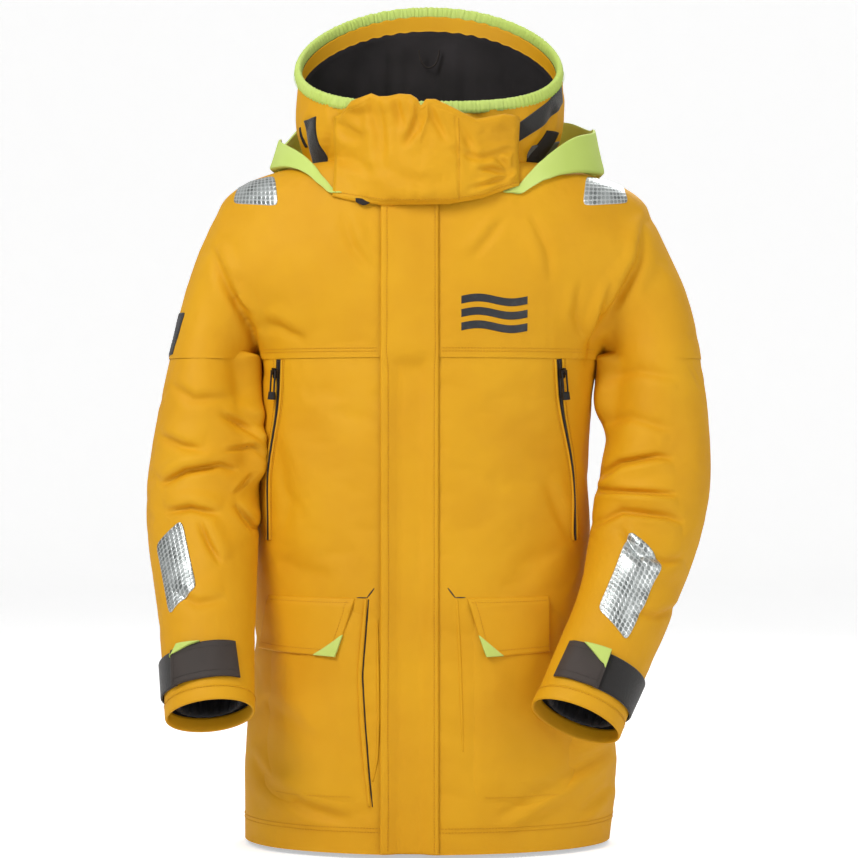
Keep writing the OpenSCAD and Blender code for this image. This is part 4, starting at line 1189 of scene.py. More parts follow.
for side in (-1, 1):
    name = NAME[side] + "_cargo"
    plo, phi = box(name + "_pocket")
    flo, fhi = box(name + "_flap")
    inner, outer = (phi[0], plo[0]) if side < 0 else (plo[0], phi[0])
    c = [(outer, plo[2] + 2), (inner, plo[2] + 2), (inner, phi[2] - 1), (outer - side * 10, phi[2] - 1)]
    c = np.array(c if side < 0 else [c[1], c[0], c[3], c[2]])
    ss, ts = steps(34, 120, 16), steps(54, 260, 16)
    P = on_front(quad_place(c), ss, ts, smooth=3)
    S, T = np.meshgrid(ss, ts, indexing="ij")
    edge_fade = np.minimum(1, 5.5 * S * (1 - S)) * np.minimum(1, 9 * T * (1 - T))
    belly = -1.9 + (5.0 + 1.6 * noise(P, 46) + 0.7 * noise(P + 9, 20)) * edge_fade
    o = slab(name + "_pocket_cloth", P, 1.4, shell, lift=0, edge=14, belly=belly, under=2.0)
    dress(o, "torso", "shell_fabric", name + "_pocket")
    N, _ = grid_normals(P, (0, -1, 0))
    top = P + N * (belly + 1.45)[..., None]
    j_low = int(np.argmin(abs(ts * 260 - 12)))
    stitches(name + "_pocket_stitches", [(top[4:-4, j_low], N[4:-4, j_low])], thread, "torso", lift=0.1,
             r=0.34)
    # flap: wide at the top, its inner edge slanting outwards as it comes down
    near, far = (fhi[0], flo[0]) if side < 0 else (flo[0], fhi[0])
    slant = 23
    if side < 0:
        fc = [(far, flo[2] + 4), (near - slant, flo[2]), (near, fhi[2] + 2), (far + 10, fhi[2] + 2)]
    else:
        fc = [(near + slant, flo[2]), (far, flo[2] + 4), (far + 2, fhi[2] + 2), (near, fhi[2] + 2)]
    fc = np.array(fc)
    ss, ts = steps(34, 100, 2.4), steps(26, 74, 2.4)
    P = on_front(quad_place(fc), ss, ts, smooth=4)
    S, T = np.meshgrid(ss, ts, indexing="ij")
    inner_share = S if side < 0 else 1 - S
    belly = 2.6 + 5.2 * (1 - T) ** 1.6 * (0.35 + 0.65 * inner_share) + 0.8 * np.sin(S * 7 + side) * (1
            - T) - 2.4 * ramp(T, 0.85, 1.0)
    belly = belly + 0.6 * noise(P + 14, 24) * (1 - T)
    o = slab(name + "_flap_cloth", P, 1.8, shell, lift=0, edge=2.4, belly=belly, under=0.6)
    dress(o, name + "_flap", "shell_fabric", name + "_flap")
    N, _ = grid_normals(P, (0, -1, 0))
    top = P + N * (belly + 1.85)[..., None]
    i_near = len(ss) - 6 if side < 0 else 5
    rows = [(top[3:-3, 5], N[3:-3, 5]), (top[i_near, 3:-3], N[i_near, 3:-3]), (top[3:-3, -5], N[3:-3, -5])]
    stitches(name + "_flap_stitches", rows, thread, name + "_flap", lift=0.1, r=0.36)

    def on_flap(s, t, lifted):
        i, j = np.interp(s, ss, np.arange(len(ss))), np.interp(t, ts, np.arange(len(ts)))
        i0, j0 = int(min(i, len(ss) - 2)), int(min(j, len(ts) - 2))
        fi, fj = i - i0, j - j0
        return ((lifted[i0, j0] * (1 - fi) + lifted[i0 + 1, j0] * fi) * (1 - fj)
                + (lifted[i0, j0 + 1] * (1 - fi) + lifted[i0 + 1, j0 + 1] * fi) * fj)

    lifted = P + N * (belly + 2.0)[..., None]
    s_edge = 1.0 if side < 0 else 0.0
    grid = []
    for p in steps(8, 30, 1.5):
        low_s = s_edge + 0.27 * p * side
        grid.append([on_flap(s_edge + (low_s - s_edge) * q, 0.38 * p * (1 - q), lifted) for q in steps(8,
                30, 1.5)])
    grid = np.array(grid)
    grid[0] = grid[0] + (grid[1] - grid[0]) * 0.02
    o = slab(name + "_flap_corner_cloth", grid, 0.9, neon, lift=0.1, edge=1.2, under=3.0)
    dress(o, name + "_flap", "bright_fabric", name + "_flap_corner")
    # side entry beside the pocket: a folded edge with painted shade in its gap, and painted crease shade at
    # the notch above it
    k = near + 14 * -side
    # painted crease shade: dark cords in dark thread colour along the creases of the notch above the side
    # entry
    crease_shade_line = [(near - side * 2, fhi[2] + 3), (near - side * 15, fhi[2] + 3), (near - side * 24, fhi[2] + 15)]
    front_cord(name + "_notch_1", crease_shade_line[:2], thread_dark, 0.7)
    front_cord(name + "_notch_2", crease_shade_line[1:], thread_dark, 0.8)
    if side < 0:
        gap_line = [(near + 17, fhi[2] + 1), (near + 12, 262), (near + 9, 225), (near + 12, 170),
                    (near + 17, 110), (near + 22, plo[2] + 4)]
        gap_line = np.array(gap_line)
        # painted shade: a dark cord sunk along the gap of the side entry, in place of the shadow inside the
        # opening
        front_cord(name + "_entry_gap", gap_line, black_tape, 1.5, lift=-0.4)
        front_cord(name + "_entry_edge", gap_line + [-3.6, 0], shell, 3.4, lift=0.6)
        second = [(near + 30, fhi[2] - 24), (near + 31, 230), (near + 32, 170), (near + 30, 120),
                  (near + 24, 92)]
        front_cord(name + "_entry_fold", np.array(second) + [-2, 0], shell, 2.4, lift=-0.4)
    else:
        second = [(near - 12, fhi[2]), (near - 9, 250), (near - 7, 190), (near - 5, 130)]
        front_cord(name + "_entry_edge", np.array(second), shell, 2.4, lift=-0.8)

# -- pocket bags behind the front
for side in (-1, 1):
    xa, xb = sorted((side * 60 + 5, side * 180))
    o = front_slab(NAME[side] + "_handwarmer_bag", [(xa, 120), (xb, 120), (xb, 296), (xa, 296)], 2.0, lining,
                   "torso", "lining_fabric", ("pocket_bags",), n=(14, 18), lift=-6.5, edge=3)
o = front_slab("inner_pocket_bag", [(62, 425), (156, 425), (156, 585), (62, 585)], 1.6, lining, "torso",
               "lining_fabric", ("pocket_bags",), n=(12, 18), lift=-5.5, edge=3)

# -- printed badge: three waves
lo, hi = box("chest_badge")
bar, gap = 10.0, 17.0
for k in range(3):
    zb = lo[2] + 4 + k * gap

    def wave(s, t, zb=zb):
        return lo[0] + (hi[0] - lo[0]) * s, zb + bar * t + 3 * math.sin(2 * math.pi * s)

    P = on_front(wave, steps(30, 84, 1.2), steps(5, 10, 1.2), smooth=1)
    dress(slab(f"chest_wave_{k + 1}", P, 0.6, ink, lift=0.15, edge=0.9, under=0.4), "torso", "print_ink",
          "chest_badge")

# -- shoulder reflectors, set on the slope of the yoke and shaped to its cloth
lo, hi = box("shoulder_reflectors")
for side in (-1, 1):
    shoulder_x = abs(lo[0]) - 12 if side < 0 else hi[0] - 10
    c = np.array([(side * shoulder_x, lo[2] + 2), (side * (shoulder_x - 62), lo[2] - 5),
                  (side * (shoulder_x - 56), hi[2] - 2), (side * (shoulder_x - 6), hi[2] - 8)])
    if side > 0:
        c = c[[1, 0, 3, 2]]

    def place(s, t, flat=quad_place(c)):
        u, v = 2 * s - 1, 2 * t - 1
        k = 1 - 0.09 * (max(0, abs(u) - 0.7) / 0.3) ** 1.5 * (max(0, abs(v) - 0.7) / 0.3) ** 1.5
        return flat(0.5 + u * k / 2, 0.5 + v * k / 2)

    P = on_front(place, steps(16, 54, 2), steps(14, 44, 2), smooth=3)
    N, _ = grid_normals(P, (0, -1, 0))
    o = slab(NAME[side] + "_shoulder_reflector", P, 0.7, silver, lift=0.2, edge=1.5, under=0.5)
    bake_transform(o)
    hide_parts("shoulder_reflectors")


# -- seams of the shell: topstitching along the yoke and the hem
def round_path(z):
    """Points and normals once round the coat at a height."""
    P, N = [], []
    for u in np.linspace(0, 2 * math.pi, 420, endpoint=False):
        d = np.array([math.cos(u), math.sin(u), 0])
        p, n = hit(coat_tree, np.array([0, 0, z]) + d * 600, -d)
        if p is not None:
            P.append(p)
            N.append(n if np.dot(n, d) > 0 else -n)
    return np.array(P), np.array(N)


stitches("hem_stitches", [round_path(28.0), round_path(33.0)], thread, "torso", r=0.36)
edge_x = box("right_front_yoke")[0][0] + 62
rows = []
for dz in (5.0, 9.0):
    for xa, xb in ((edge_x, x0 - 4), (x1 + 4, -edge_x)):
        rows.append(front_path([(xa, YOKE_Z + dz), (xb, YOKE_Z + dz)], 90))
    rows.append(back_path([(edge_x, YOKE_Z + dz), (-edge_x, YOKE_Z + dz)], 160))
stitches("yoke_stitches", rows, thread, "torso", r=0.34)

# -- lining and the hem's cord
lined = body_F[(body_V[body_F][:, :, 2].min(1) > 20)]
L = body_V - body_N * (6.0 + 1.2 * noise(body_V + 60, 50))[:, None]
dress(thick("body_lining_cloth", L, lined, 0.9, lining, lining, body_N), "torso", "lining_fabric",
      "body_lining")
cord_P = np.array([(v.co * 1000)[:] for v in frame["nodes"]["hem_drawcord"].data.vertices])
cord_u = np.arctan2(cord_P[:, 1], cord_P[:, 0])
line = []
for u in np.arange(400) * 2 * math.pi / 400:
    w = np.exp(-(((cord_u - u + math.pi) % (2 * math.pi) - math.pi) / math.radians(2.2)) ** 2)
    line.append((cord_P * w[:, None]).sum(0) / w.sum())
dress(tube("hem_drawcord_cord", line, 2.2, cord_mat, closed=True, sides=12), "torso", "cord", "hem_drawcord")
n_in = len(body_piece.data.polygons)
centres = np.empty(n_in * 3)
body_piece.data.polygons.foreach_get("center", centres)
which = np.empty(n_in, np.int32)
body_piece.data.polygons.foreach_get("material_index", which)
which[centres.reshape(-1, 3)[:, 2] < 0.036] = 0
body_piece.data.polygons.foreach_set("material_index", which)

# ---- pieces on the sleeves ------
AXIS = {side: sleeve_axis(side) for side in (-1, 1)}
CUFF = {side: (len(SL[side][0]) - 1) / 99 for side in (-1, 1)}
SLEEVE_RUN = 601  # millimetres along a sleeve's axis, for a share of 1
END_GAP = 0.004  # share kept clear of the cuff's open end


def arc(t):
    """From a share of the sleeve, 0 armhole, .5 elbow, 1 cuff, to a share of its axis."""
    return t * 0.968 if t <= 0.5 else 0.484 + (t - 0.5) * 1.03


def arm_frame(side, a):
    t, Q = AXIS[side]
    c = np.array([np.interp(a, t, Q[:, k]) for k in range(3)])
    d = unit(np.array([np.interp(a + 0.02, t, Q[:, k]) - np.interp(a - 0.02, t, Q[:, k]) for k in range(3)]))
    out = unit(np.array([side, 0, 0]) - d * d[0] * side)
    front = unit(np.cross(d, out) * side)
    return c, out, (front if front[1] < 0 else -front), d


def on_arm(side, place, ss, ts, tree=None, smooth=2):
    """Grid on the sleeve, place(s, t) gives the turn in degrees and the share of the axis."""
    P = np.full((len(ss), len(ts), 3), np.nan)
    for i, s in enumerate(ss):
        for j, t in enumerate(ts):
            turn, a = place(s, t)
            c, out, front, d = arm_frame(side, a)
            g = math.radians(turn)
            way = math.cos(g) * out + math.sin(g) * front
            p, _ = hit(tree or ARM_TREE[side], c + way * 160, -way, 155)
            if p is not None:
                P[i, j] = p
    return soften(fill_grid(P), smooth)


def arm_quad(corners):
    c = np.array([(turn, arc(t)) for turn, t in corners])
    return lambda s, t: (c[0] * (1 - s) + c[1] * s) * (1 - t) + (c[3] * (1 - s) + c[2] * s) * t


def rounded(place, r):
    """The same patch with its corners pulled in, r as a share of the side."""
    def f(s, t):
        u, v = 2 * s - 1, 2 * t - 1
        k = 1 - r * 0.293 * (max(0, abs(u) - (1 - r)) / r) ** 1.5 * (max(0, abs(v) - (1 - r)) / r) ** 1.5
        return place(0.5 + u * k / 2, 0.5 + v * k / 2)
    return f


def outward(side, P):
    c = arm_frame(side, 0.5)[0]
    m = P.reshape(-1, 3).mean(0)
    t, Q = AXIS[side]
    near = Q[np.argmin(np.linalg.norm(Q - m, axis=1))]
    return unit(m - near)


def elbow_blend(o):
    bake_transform(o)
    return o


def cuff_ring(side, a, n=144, inset=0.0):
    R = []
    c, out, front, d = arm_frame(side, min(a, CUFF[side] - END_GAP))
    for g in np.arange(n) * 2 * math.pi / n:
        way = math.cos(g) * out + math.sin(g) * front
        p, _ = hit(ARM_TREE[side], c + way * 160, -way, 155)
        R.append([np.nan] * 3 if p is None else p - way * inset)
    R = np.array(R)
    R = fill_grid(np.repeat(R[:, None], 2, 1))[:, 0]
    R = R + d * max(0, a - (CUFF[side] - END_GAP)) * SLEEVE_RUN
    return R


def loft(name, rows, mat, closed=False):
    """A closed skin through rings that wrap round; closed joins the last ring to the first."""
    G = np.array(rows).transpose(1, 0, 2)
    if closed:
        G = np.concatenate([G, G[:, :1]], 1)
    V, F = G.reshape(-1, 3), grid_faces(G.shape[0], G.shape[1], wrap=True)
    if closed:
        m = G.shape[1]
        last = np.arange(len(V))
        last[m - 1::m] -= m - 1
        F = last[F]
    A, B = V[F[:, 0]], V[F[:, 2]]
    C, D = V[F[:, 1]], V[F[:, 3]]
    volume = (np.cross(B - A, D - C) * (A + B + C + D)).sum()
    if volume < 0:
        F = F[:, ::-1]
    used = np.unique(F)
    re = np.full(len(V), -1)
    re[used] = np.arange(len(used))
    return add_mesh(name, V[used], re[F], mat)


for side in (-1, 1):
    name = NAME[side]
    # reflector on the forearm
    quad = [[50, 0.805], [90, 0.765], [72, 0.61], [32, 0.645]] if side < 0 else [[66, 0.845], [114, 0.8],
            [102, 0.625], [56, 0.67]]
    place = rounded(arm_quad(quad), 0.22)
    P = on_arm(side, place, steps(24, 50, 2), steps(40, 95, 2), smooth=1)
    hint = outward(side, P)
    dress(slab(name + "_forearm_reflector_film", P, 0.8, silver, lift=0.9, edge=1.6, hint=hint, under=1.4),
          name + "_forearm", "reflective", name + "_forearm_reflector")
    N, _ = grid_normals(P, hint)
    ring = [(P[3:-3, 5], N[3:-3, 5]), (P[3:-3, -6], N[3:-3, -6]), (P[5, 3:-3], N[5, 3:-3]),
            (P[-6, 3:-3], N[-6, 3:-3])]
    stitches(name + "_forearm_reflector_stitches", ring, thread_dark, name + "_forearm", lift=1.6, r=0.3)
    # patch over the elbow
    quad = [[-105, 0.46], [-12, 0.46], [-20, 0.2], [-95, 0.24]]
    P = on_arm(side, rounded(arm_quad(quad), 0.12), steps(44, 130, 2), steps(50, 150, 2), smooth=1)
    hint = outward(side, P)
    o = slab(name + "_elbow_patch_cloth", P, 1.3, elbow_cloth, lift=0.9, edge=1.8, hint=hint, under=1.6)
    elbow_blend(o)
    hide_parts(name + "_elbow_patch")
    # hook-and-loop strip round the cuff, then the tab over it
    turn = 52 if side < 0 else 86
    P = on_arm(side, arm_quad([[-38, 0.956], [turn, 0.958], [turn, 0.882], [-38, 0.880]]),
               steps(36, 80, 2), steps(12, 44, 2))
    hint = outward(side, P)
    dress(slab(name + "_cuff_loops", P, 1.6, hooks, lift=0, edge=1.5, hint=hint, under=0.8,
               belly=0.8 + 2.4 * np.sin(np.linspace(0, 1, P.shape[0]) * 3.1)[:, None] + 0 * P[..., 0]),
               name + "_forearm",
          "dark_fabric", name + "_cuff_loop_strip")
    quad = [[46, 0.960], [136, 0.956], [132, 0.878], [50, 0.882]] if side < 0 else [[80, 0.960],
            [138, 0.956], [134, 0.876], [80, 0.880]]
    P = on_arm(side, arm_quad(quad), steps(40, 110, 2.5), steps(16, 46, 2.5))
    hint = outward(side, P)
    S, T = np.meshgrid(np.linspace(0, 1, P.shape[0]), np.linspace(0, 1, P.shape[1]), indexing="ij")
    belly = 2.4 + 1.6 * np.sin(S * 5 + 1) ** 2 + 2.2 * (1 - S) ** 3
    tab = slab(name + "_cuff_tab_cloth", P, 2.0, tab_cloth, lift=0, edge=2.5, hint=hint, belly=belly,
               under=0.6, back=hooks)
    dress(tab, name + "_cuff_tab", "dark_fabric", name + "_cuff_tab")
    N, _ = grid_normals(P, hint)
    top = P + N * (belly + 2.0)[..., None]
    ring = [(top[3:-3, 5], N[3:-3, 5]), (top[3:-3, -6], N[3:-3, -6]), (top[5, 3:-3], N[5, 3:-3])]
    stitches(name + "_cuff_tab_stitches", ring, thread_dark, name + "_cuff_tab", lift=0.1, r=0.35)
    quad = [[49, 0.898], [51, 0.895], [90, 0.880], [62, 0.874]] if side < 0 else [[81, 0.916], [84, 0.912],
            [113, 0.879], [81, 0.876]]
    P = on_arm(side, arm_quad(quad), steps(12, 30, 1.5), steps(10, 24, 1.5))
    hint = outward(side, P)
    dress(slab(name + "_cuff_corner_cloth", P, 1.0, neon, lift=8.0, edge=1.4, hint=hint, under=5.0),
          name + "_cuff_tab",
          "bright_fabric", name + "_cuff_tab_corner")
    # hem of the cuff, turned in, with a row of stitches
    end = CUFF[side]
    profile = [(-0.030, -0.5), (-0.024, -0.7), (-0.012, -0.8), (-0.002, -0.8), (0.0015, -0.2),
               (0.002, 0.9), (0.0015, 2.0),
               (-0.002, 2.6), (-0.012, 2.7), (-0.024, 2.7), (-0.030, 2.5), (-0.031, 1.0)]
    rows = [cuff_ring(side, end + da, 144, inset) for da, inset in profile]
    dress(loft(name + "_cuff_hem", rows, shell, closed=True), name + "_forearm", "shell_fabric")
    line = [cuff_ring(side, end + da, 144, -0.8) for da in (-0.026,)]
    c, out, front, d = arm_frame(side, end - 0.02)
    stitches(name + "_cuff_hem_stitches", [(r[:-1], unit(r[:-1] - c)) for r in line], thread,
             name + "_forearm", lift=0.3)
    # gathered inner cuff
    turns = np.arange(144) * 2 * math.pi / 144
    rows = []
    for da, inset, deep in ((-0.10, 3.2, 0), (-0.075, 4.5, 0.6), (-0.05, 7, 1.2), (-0.033, 10, 1.4),
                            (-0.024, 14, 1.2), (-0.020, 18, 0.8),
                            (-0.024, 20.5, 0.4), (-0.034, 20, 1.0), (-0.06, 17, 1.4), (-0.10, 15, 1.0),
                            (-0.112, 9, 0.2)):
        ring = cuff_ring(side, end + da, 144, 0)
        c = ring.mean(0)
        way = unit(ring - c)
        wobble = deep * (np.sin(turns * 21 + 3 * np.sin(turns * 2)) + 0.5 * np.sin(turns * 34 + 1))
        rows.append(ring - way * (inset + wobble)[:, None])
    dress(loft(name + "_inner_cuff_cloth", rows, lining, closed=True), name + "_forearm", "lining_fabric",
          name + "_inner_cuff")

label_tree = tree_of(np.concatenate([SKIN[-1][0], yoke_V]),
                     np.concatenate([SKIN[-1][1], yoke_F + len(SKIN[-1][0])]))
P = on_arm(-1, rounded(arm_quad([[8, 0.2], [42, 0.2], [44, 0.102], [10, 0.102]]), 0.08),
           steps(20, 44, 1.2), steps(26, 60, 1.2), tree=label_tree, smooth=2)
hint = (-1, -0.6, 0)
dress(slab("sleeve_label_cloth", P, 0.8, ink, lift=0.5, edge=1.0, hint=hint, under=0.8), "right_sleeve",
      "print_ink",
      "sleeve_label")
N, _ = grid_normals(P, hint)
ring = [(P[2:-2, 4], N[2:-2, 4]), (P[2:-2, -5], N[2:-2, -5]), (P[4, 2:-2], N[4, 2:-2]),
        (P[-5, 2:-2], N[-5, 2:-2])]
stitches("sleeve_label_stitches", ring, thread_dark, "right_sleeve", lift=1.2, r=0.3)

# ---- collar ------
def node_points(name):
    return np.array([(v.co * 1000)[:] for v in frame["nodes"][name].data.vertices])


def turn_of(P):
    return np.arctan2(P[..., 1], P[..., 0])


def gap(a, b):
    return (a - b + math.pi) % (2 * math.pi) - math.pi


bind_P = node_points("collar_binding")
bind_u = turn_of(bind_P)


def top_line(u):
    w = np.exp(-(gap(bind_u, u) / math.radians(3.0)) ** 2)
    return (bind_P * w[:, None]).sum(0) / w.sum()


collar_tree = node_tree("collar_shell")
NU, NV = 320, 40
turns = np.arange(NU) * 2 * math.pi / NU
TOP = np.array([top_line(u) for u in turns])
collar_low = NECK_Z - 5


def collar_grid(low, high):
    """Outer surface of the collar between two heights given per turn."""
    G = np.full((NU, NV, 3), np.nan)
    for i, u in enumerate(turns):
        d = np.array([math.cos(u), math.sin(u), 0])
        for j in range(NV):
            z = low[i] + (high[i] - low[i]) * j / (NV - 1)
            p, _ = hit(collar_tree, np.array([0, 0, z]) + d * 400, -d, 390)
            if p is not None:
                G[i, j] = p
    for i in range(NU):
        good = ~np.isnan(G[i, :, 0])
        zz = np.linspace(low[i], high[i], NV)
        r = np.hypot(G[i, good, 0], G[i, good, 1])
        rr = np.interp(zz, zz[good], r)
        G[i] = np.stack([rr * math.cos(turns[i]), rr * math.sin(turns[i]), zz], -1)
    return G


foot = np.full(NU, collar_low)
for i, u in enumerate(turns):
    d = np.array([math.cos(u), math.sin(u), 0])
    p, _ = hit(collar_tree, np.array([0, 0, NECK_Z + 8]) + d * 400, -d, 390)
    under_foot, _ = hit(coat_tree, (p[0], p[1], 1000), (0, 0, -1))
    if under_foot is not None:
        foot[i] = min(collar_low, under_foot[2] - 2)
foot = np.minimum(foot, 0.5 * foot + 0.25 * (np.roll(foot, 3) + np.roll(foot, -3)))
G = collar_grid(foot, TOP[:, 2] - 5)
for _ in range(4):
    G = 0.5 * G + 0.25 * (np.roll(G, 1, 0) + np.roll(G, -1, 0))
collar_base = G.copy()
flat = G.reshape(-1, 3)
wob = (2.6 * noise(flat * [1, 1, 0.6] + 40, 70) + 1.5 * noise(flat * [1, 1, 0.5] + 7, 30)).reshape(NU, NV)
vv = np.linspace(0, 1, NV)[None, :]
out2 = unit(G * [1, 1, 0])
collar_out = G + out2 * (wob * (0.5 + 0.5 * vv) + 1.2)[..., None]
V, F = collar_out.reshape(-1, 3), grid_faces(NU, NV, wrap=True)
N = normals(V, F)
collar_V, collar_F = V, F
for u_deg, z_a, z_b, lean in ((-28, 0.15, 0.75, 10), (-48, 0.3, 0.95, -14), (-10, 0.05, 0.6, 16),
                              (14, 0.1, 0.8, -8), (208, 0.1, 0.7, 10),
                              (228, 0.3, 0.95, -12), (192, 0.05, 0.6, 8), (168, 0.2, 0.8, -10),
                              (60, 0.1, 0.7, 9), (120, 0.2, 0.9, -9)):
    q = np.linspace(0, 1, 24)
    cols = (np.round((u_deg + lean * q) % 360 / 360 * NU).astype(int)) % NU
    line = collar_out[cols, np.round((z_a + (z_b - z_a) * q) * (NV - 1)).astype(int)]
    far = np.linalg.norm(collar_V[:, None] - line[None], axis=2).min(1)
    collar_V = collar_V - N * (3.4 * np.exp(-(far / 8) ** 2) - 1.8 * np.exp(-((far - 14) / 9) ** 2))[:, None]
if (collar_V * [1, 1, 0] * normals(collar_V, collar_F)).sum() < 0:
    collar_F = collar_F[:, ::-1]
fine_V, fine_F = finer(collar_V, collar_F)
fine_N = normals(fine_V, fine_F)
dress(thick("collar_cloth", fine_V, fine_F, 2.6, shell, shell, fine_N), "torso", "shell_fabric",
      "collar_shell")
collar_skin = tree_of(fine_V, fine_F)

# lining: fleece with soft upright folds, under a band of shell cloth that thins out towards the front
band = 20 * (0.35 + 0.65 * ramp(np.sin(turns), -0.75, 0.1)) * ramp(np.sin(turns), -0.95, -0.6)
lift_fold = (9.0 * np.maximum(0, noise(np.stack([turns * 150, turns * 0, turns * 0 + 3], -1), 40))
             + 3.0 * noise(np.stack([turns * 150, turns * 0 + 50, turns * 0], -1), 17))
band = np.maximum(band, 2.0)
share = np.linspace(0, 1, 60)
band_rows = 10
rows_z = np.where(np.arange(60)[None, :] <= band_rows,
                  TOP[:, 2][:, None] - 6 - band[:, None] * np.arange(60)[None, :] / band_rows,
                  TOP[:, 2][:, None] - 6 - band[:, None]
                  - (TOP[:, 2][:, None] - 6 - band[:, None] - collar_low - 3)
                  * (np.arange(60)[None, :] - band_rows) / (59 - band_rows))
H = []
for j in range(60):
    z = rows_z[:, j]
    below = TOP[:, 2] - 6 - z
    in_fleece = float(j > band_rows)
    r = np.array([np.interp(z[i], collar_base[i, :, 2],
                            np.hypot(collar_base[i, :, 0], collar_base[i, :, 1])) for i in range(NU)])
    slope = np.stack([turns * 150, turns * 0 + 20, z * 0.5], -1)
    wave = lift_fold * ramp(below, band + 4, band + 50) + 3.5 * np.maximum(0,
            noise(slope, 36)) * ramp(below, band + 4, band + 30)
    H.append(np.stack([(r - 4.6 - 3.4 * in_fleece - wave) * np.cos(turns),
                       (r - 4.6 - 3.4 * in_fleece - wave) * np.sin(turns), z], -1))
H = np.array(H).transpose(1, 0, 2)
for _ in range(3):
    H = 0.5 * H + 0.25 * (np.roll(H, 1, 0) + np.roll(H, -1, 0))
V, F = H.reshape(-1, 3), grid_faces(NU, 60, wrap=True)
Nn = normals(V, F)
if (V * [1, 1, 0] * Nn).sum() > 0:
    F = F[:, ::-1]
which = ((F % 60).min(1) >= band_rows).astype(int)
N = normals(V, F)
inner = V - N * 1.5
n = len(V)
rim = edges_of(F)
sides = np.stack([rim[:, 1], rim[:, 0], rim[:, 0] + n, rim[:, 1] + n], -1)
o = add_mesh("collar_lining_cloth", np.concatenate([V, inner]), np.concatenate([F, F[:, ::-1] + n, sides]),
             [shell, fleece],
             index=np.concatenate([which, which, np.ones(len(sides), int)]))
dress(o, "torso", "fleece", "collar_lining")

# gathered binding along the top edge
closed_top = np.vstack([TOP, TOP[:1]])
run = np.concatenate([[0], np.cumsum(np.linalg.norm(np.diff(closed_top, axis=0), axis=1))])
m = 1500
at = np.arange(m) * run[-1] / m
L = np.stack([np.interp(at, run, closed_top[:, k]) for k in range(3)], -1)
for _ in range(40):
    L = 0.5 * L + 0.25 * (np.roll(L, 1, 0) + np.roll(L, -1, 0))
D = unit(np.roll(L, -1, 0) - np.roll(L, 1, 0))
R = unit(L * [1, 1, 0])
R = unit(R - D * (R * D).sum(1)[:, None])
U = np.cross(D, R)
U = U * np.sign(U[:, 2])[:, None]
phase = at / 6.4 * 2 * math.pi + 2.2 * noise(L + 11, 26)
gather = np.sin(phase) + 0.35 * np.sin(phase * 1.63 + 1)
strength = 0.7 + 0.5 * noise(L + 3, 34)
g = np.arange(20) * 2 * math.pi / 20
cr, cu = np.cos(g), np.sin(g)
cr = np.sign(cr) * abs(cr) ** 0.8
cu = np.sign(cu) * abs(cu) ** 0.8
a = 4.4 + 0.75 * (gather * strength)[:, None] * (1 - 0.3 * cu[None, :] ** 2)
b = 8.2 + 0.5 * gather[:, None] * strength[:, None]
Vb = L[:, None] + R[:, None] * (a * cr[None, :])[..., None] + U[:, None] * (b * cu[None, :])[...,
        None] - U[:, None] * 0.5
i, j = np.meshgrid(np.arange(m), np.arange(20), indexing="ij")
Fb = np.stack([i * 20 + j, ((i + 1) % m) * 20 + j, ((i + 1) % m) * 20 + (j + 1) % 20,
               i * 20 + (j + 1) % 20], -1).reshape(-1, 4)
Vb = Vb.reshape(-1, 3)
cc = L[Fb[:, 0] // 20]
if ((Vb[Fb].mean(1) - cc) * np.cross(Vb[Fb[:, 1]] - Vb[Fb[:, 0]], Vb[Fb[:, 3]] - Vb[Fb[:, 0]])).sum() < 0:
    Fb = Fb[:, ::-1]
dress(add_mesh("collar_binding_cloth", Vb, Fb, neon), "torso", "bright_fabric", "collar_binding")
line = L + R * 5.3 - U * 4.6
stitches("collar_binding_stitches", [(line, R)], neon_thread, "torso", pitch=3.6, length=2.6, lift=0.2, r=0.4)


def on_collar(place, ss, ts, smooth=2):
    """Grid on the outside of the collar; place(s, t) gives the turn in degrees and the height."""
    P = np.full((len(ss), len(ts), 3), np.nan)
    for i, s in enumerate(ss):
        for j, t in enumerate(ts):
            u, z = place(s, t)
            d = np.array([math.cos(math.radians(u)), math.sin(math.radians(u)), 0])
            p, _ = hit(collar_skin, np.array([0, 0, z]) + d * 400, -d, 390)
            if p is not None:
                P[i, j] = p
    return soften(fill_grid(P), smooth)


lo, hi = box("collar_hook_strip")
ua, ub = math.degrees(math.atan2(hi[1], lo[0])) % 360, math.degrees(math.atan2(lo[1], hi[0])) % 360
P = on_collar(lambda s, t: (ua + 1 + (ub - ua) * s - 1.5 * t,
                            lo[2] - 28 + (hi[2] - lo[2] + 14) * t + 3 * s), steps(8, 18, 1.2),
                            steps(24, 78, 1.2))
dress(slab("collar_hook_patch", P, 1.6, hooks, lift=0.5, edge=1.4, hint=(-1, -0.5, 0)), "torso",
      "dark_fabric", "collar_hook_strip")
slit = on_collar(lambda s, t: (ua - 5 + 1.6 * s, lo[2] + 12 + 26 * t), steps(4, 5, 0.6), steps(10, 22, 1.2))
dress(slab("collar_slit_tape", slit, 0.8, black_tape, lift=0.3, edge=0.8, hint=(-1, -0.5, 0)), "torso",
      "dark_fabric")
lo, hi = box("collar_loop_strip")
ua, ub = math.degrees(math.atan2(lo[1], lo[0])), math.degrees(math.atan2(hi[1], hi[0]))
rise = hi[2] - lo[2] - 22
P = on_collar(lambda s, t: (ua - 3 + (ub - ua + 4) * s, lo[2] + 2 + rise * s + 25 * t), steps(30, 90, 1.5),
              steps(12, 26, 1.5))
dress(slab("collar_loop_patch", P, 1.8, hooks, lift=0.5, edge=1.4, hint=(1, -0.5, 0)), "torso",
      "dark_fabric", "collar_loop_strip")
P = on_collar(lambda s, t: (ua - 3 + 9 * s + 20 * t, lo[2] - 60 + 84 * t), steps(8, 16, 1.2),
              steps(24, 90, 1.2))
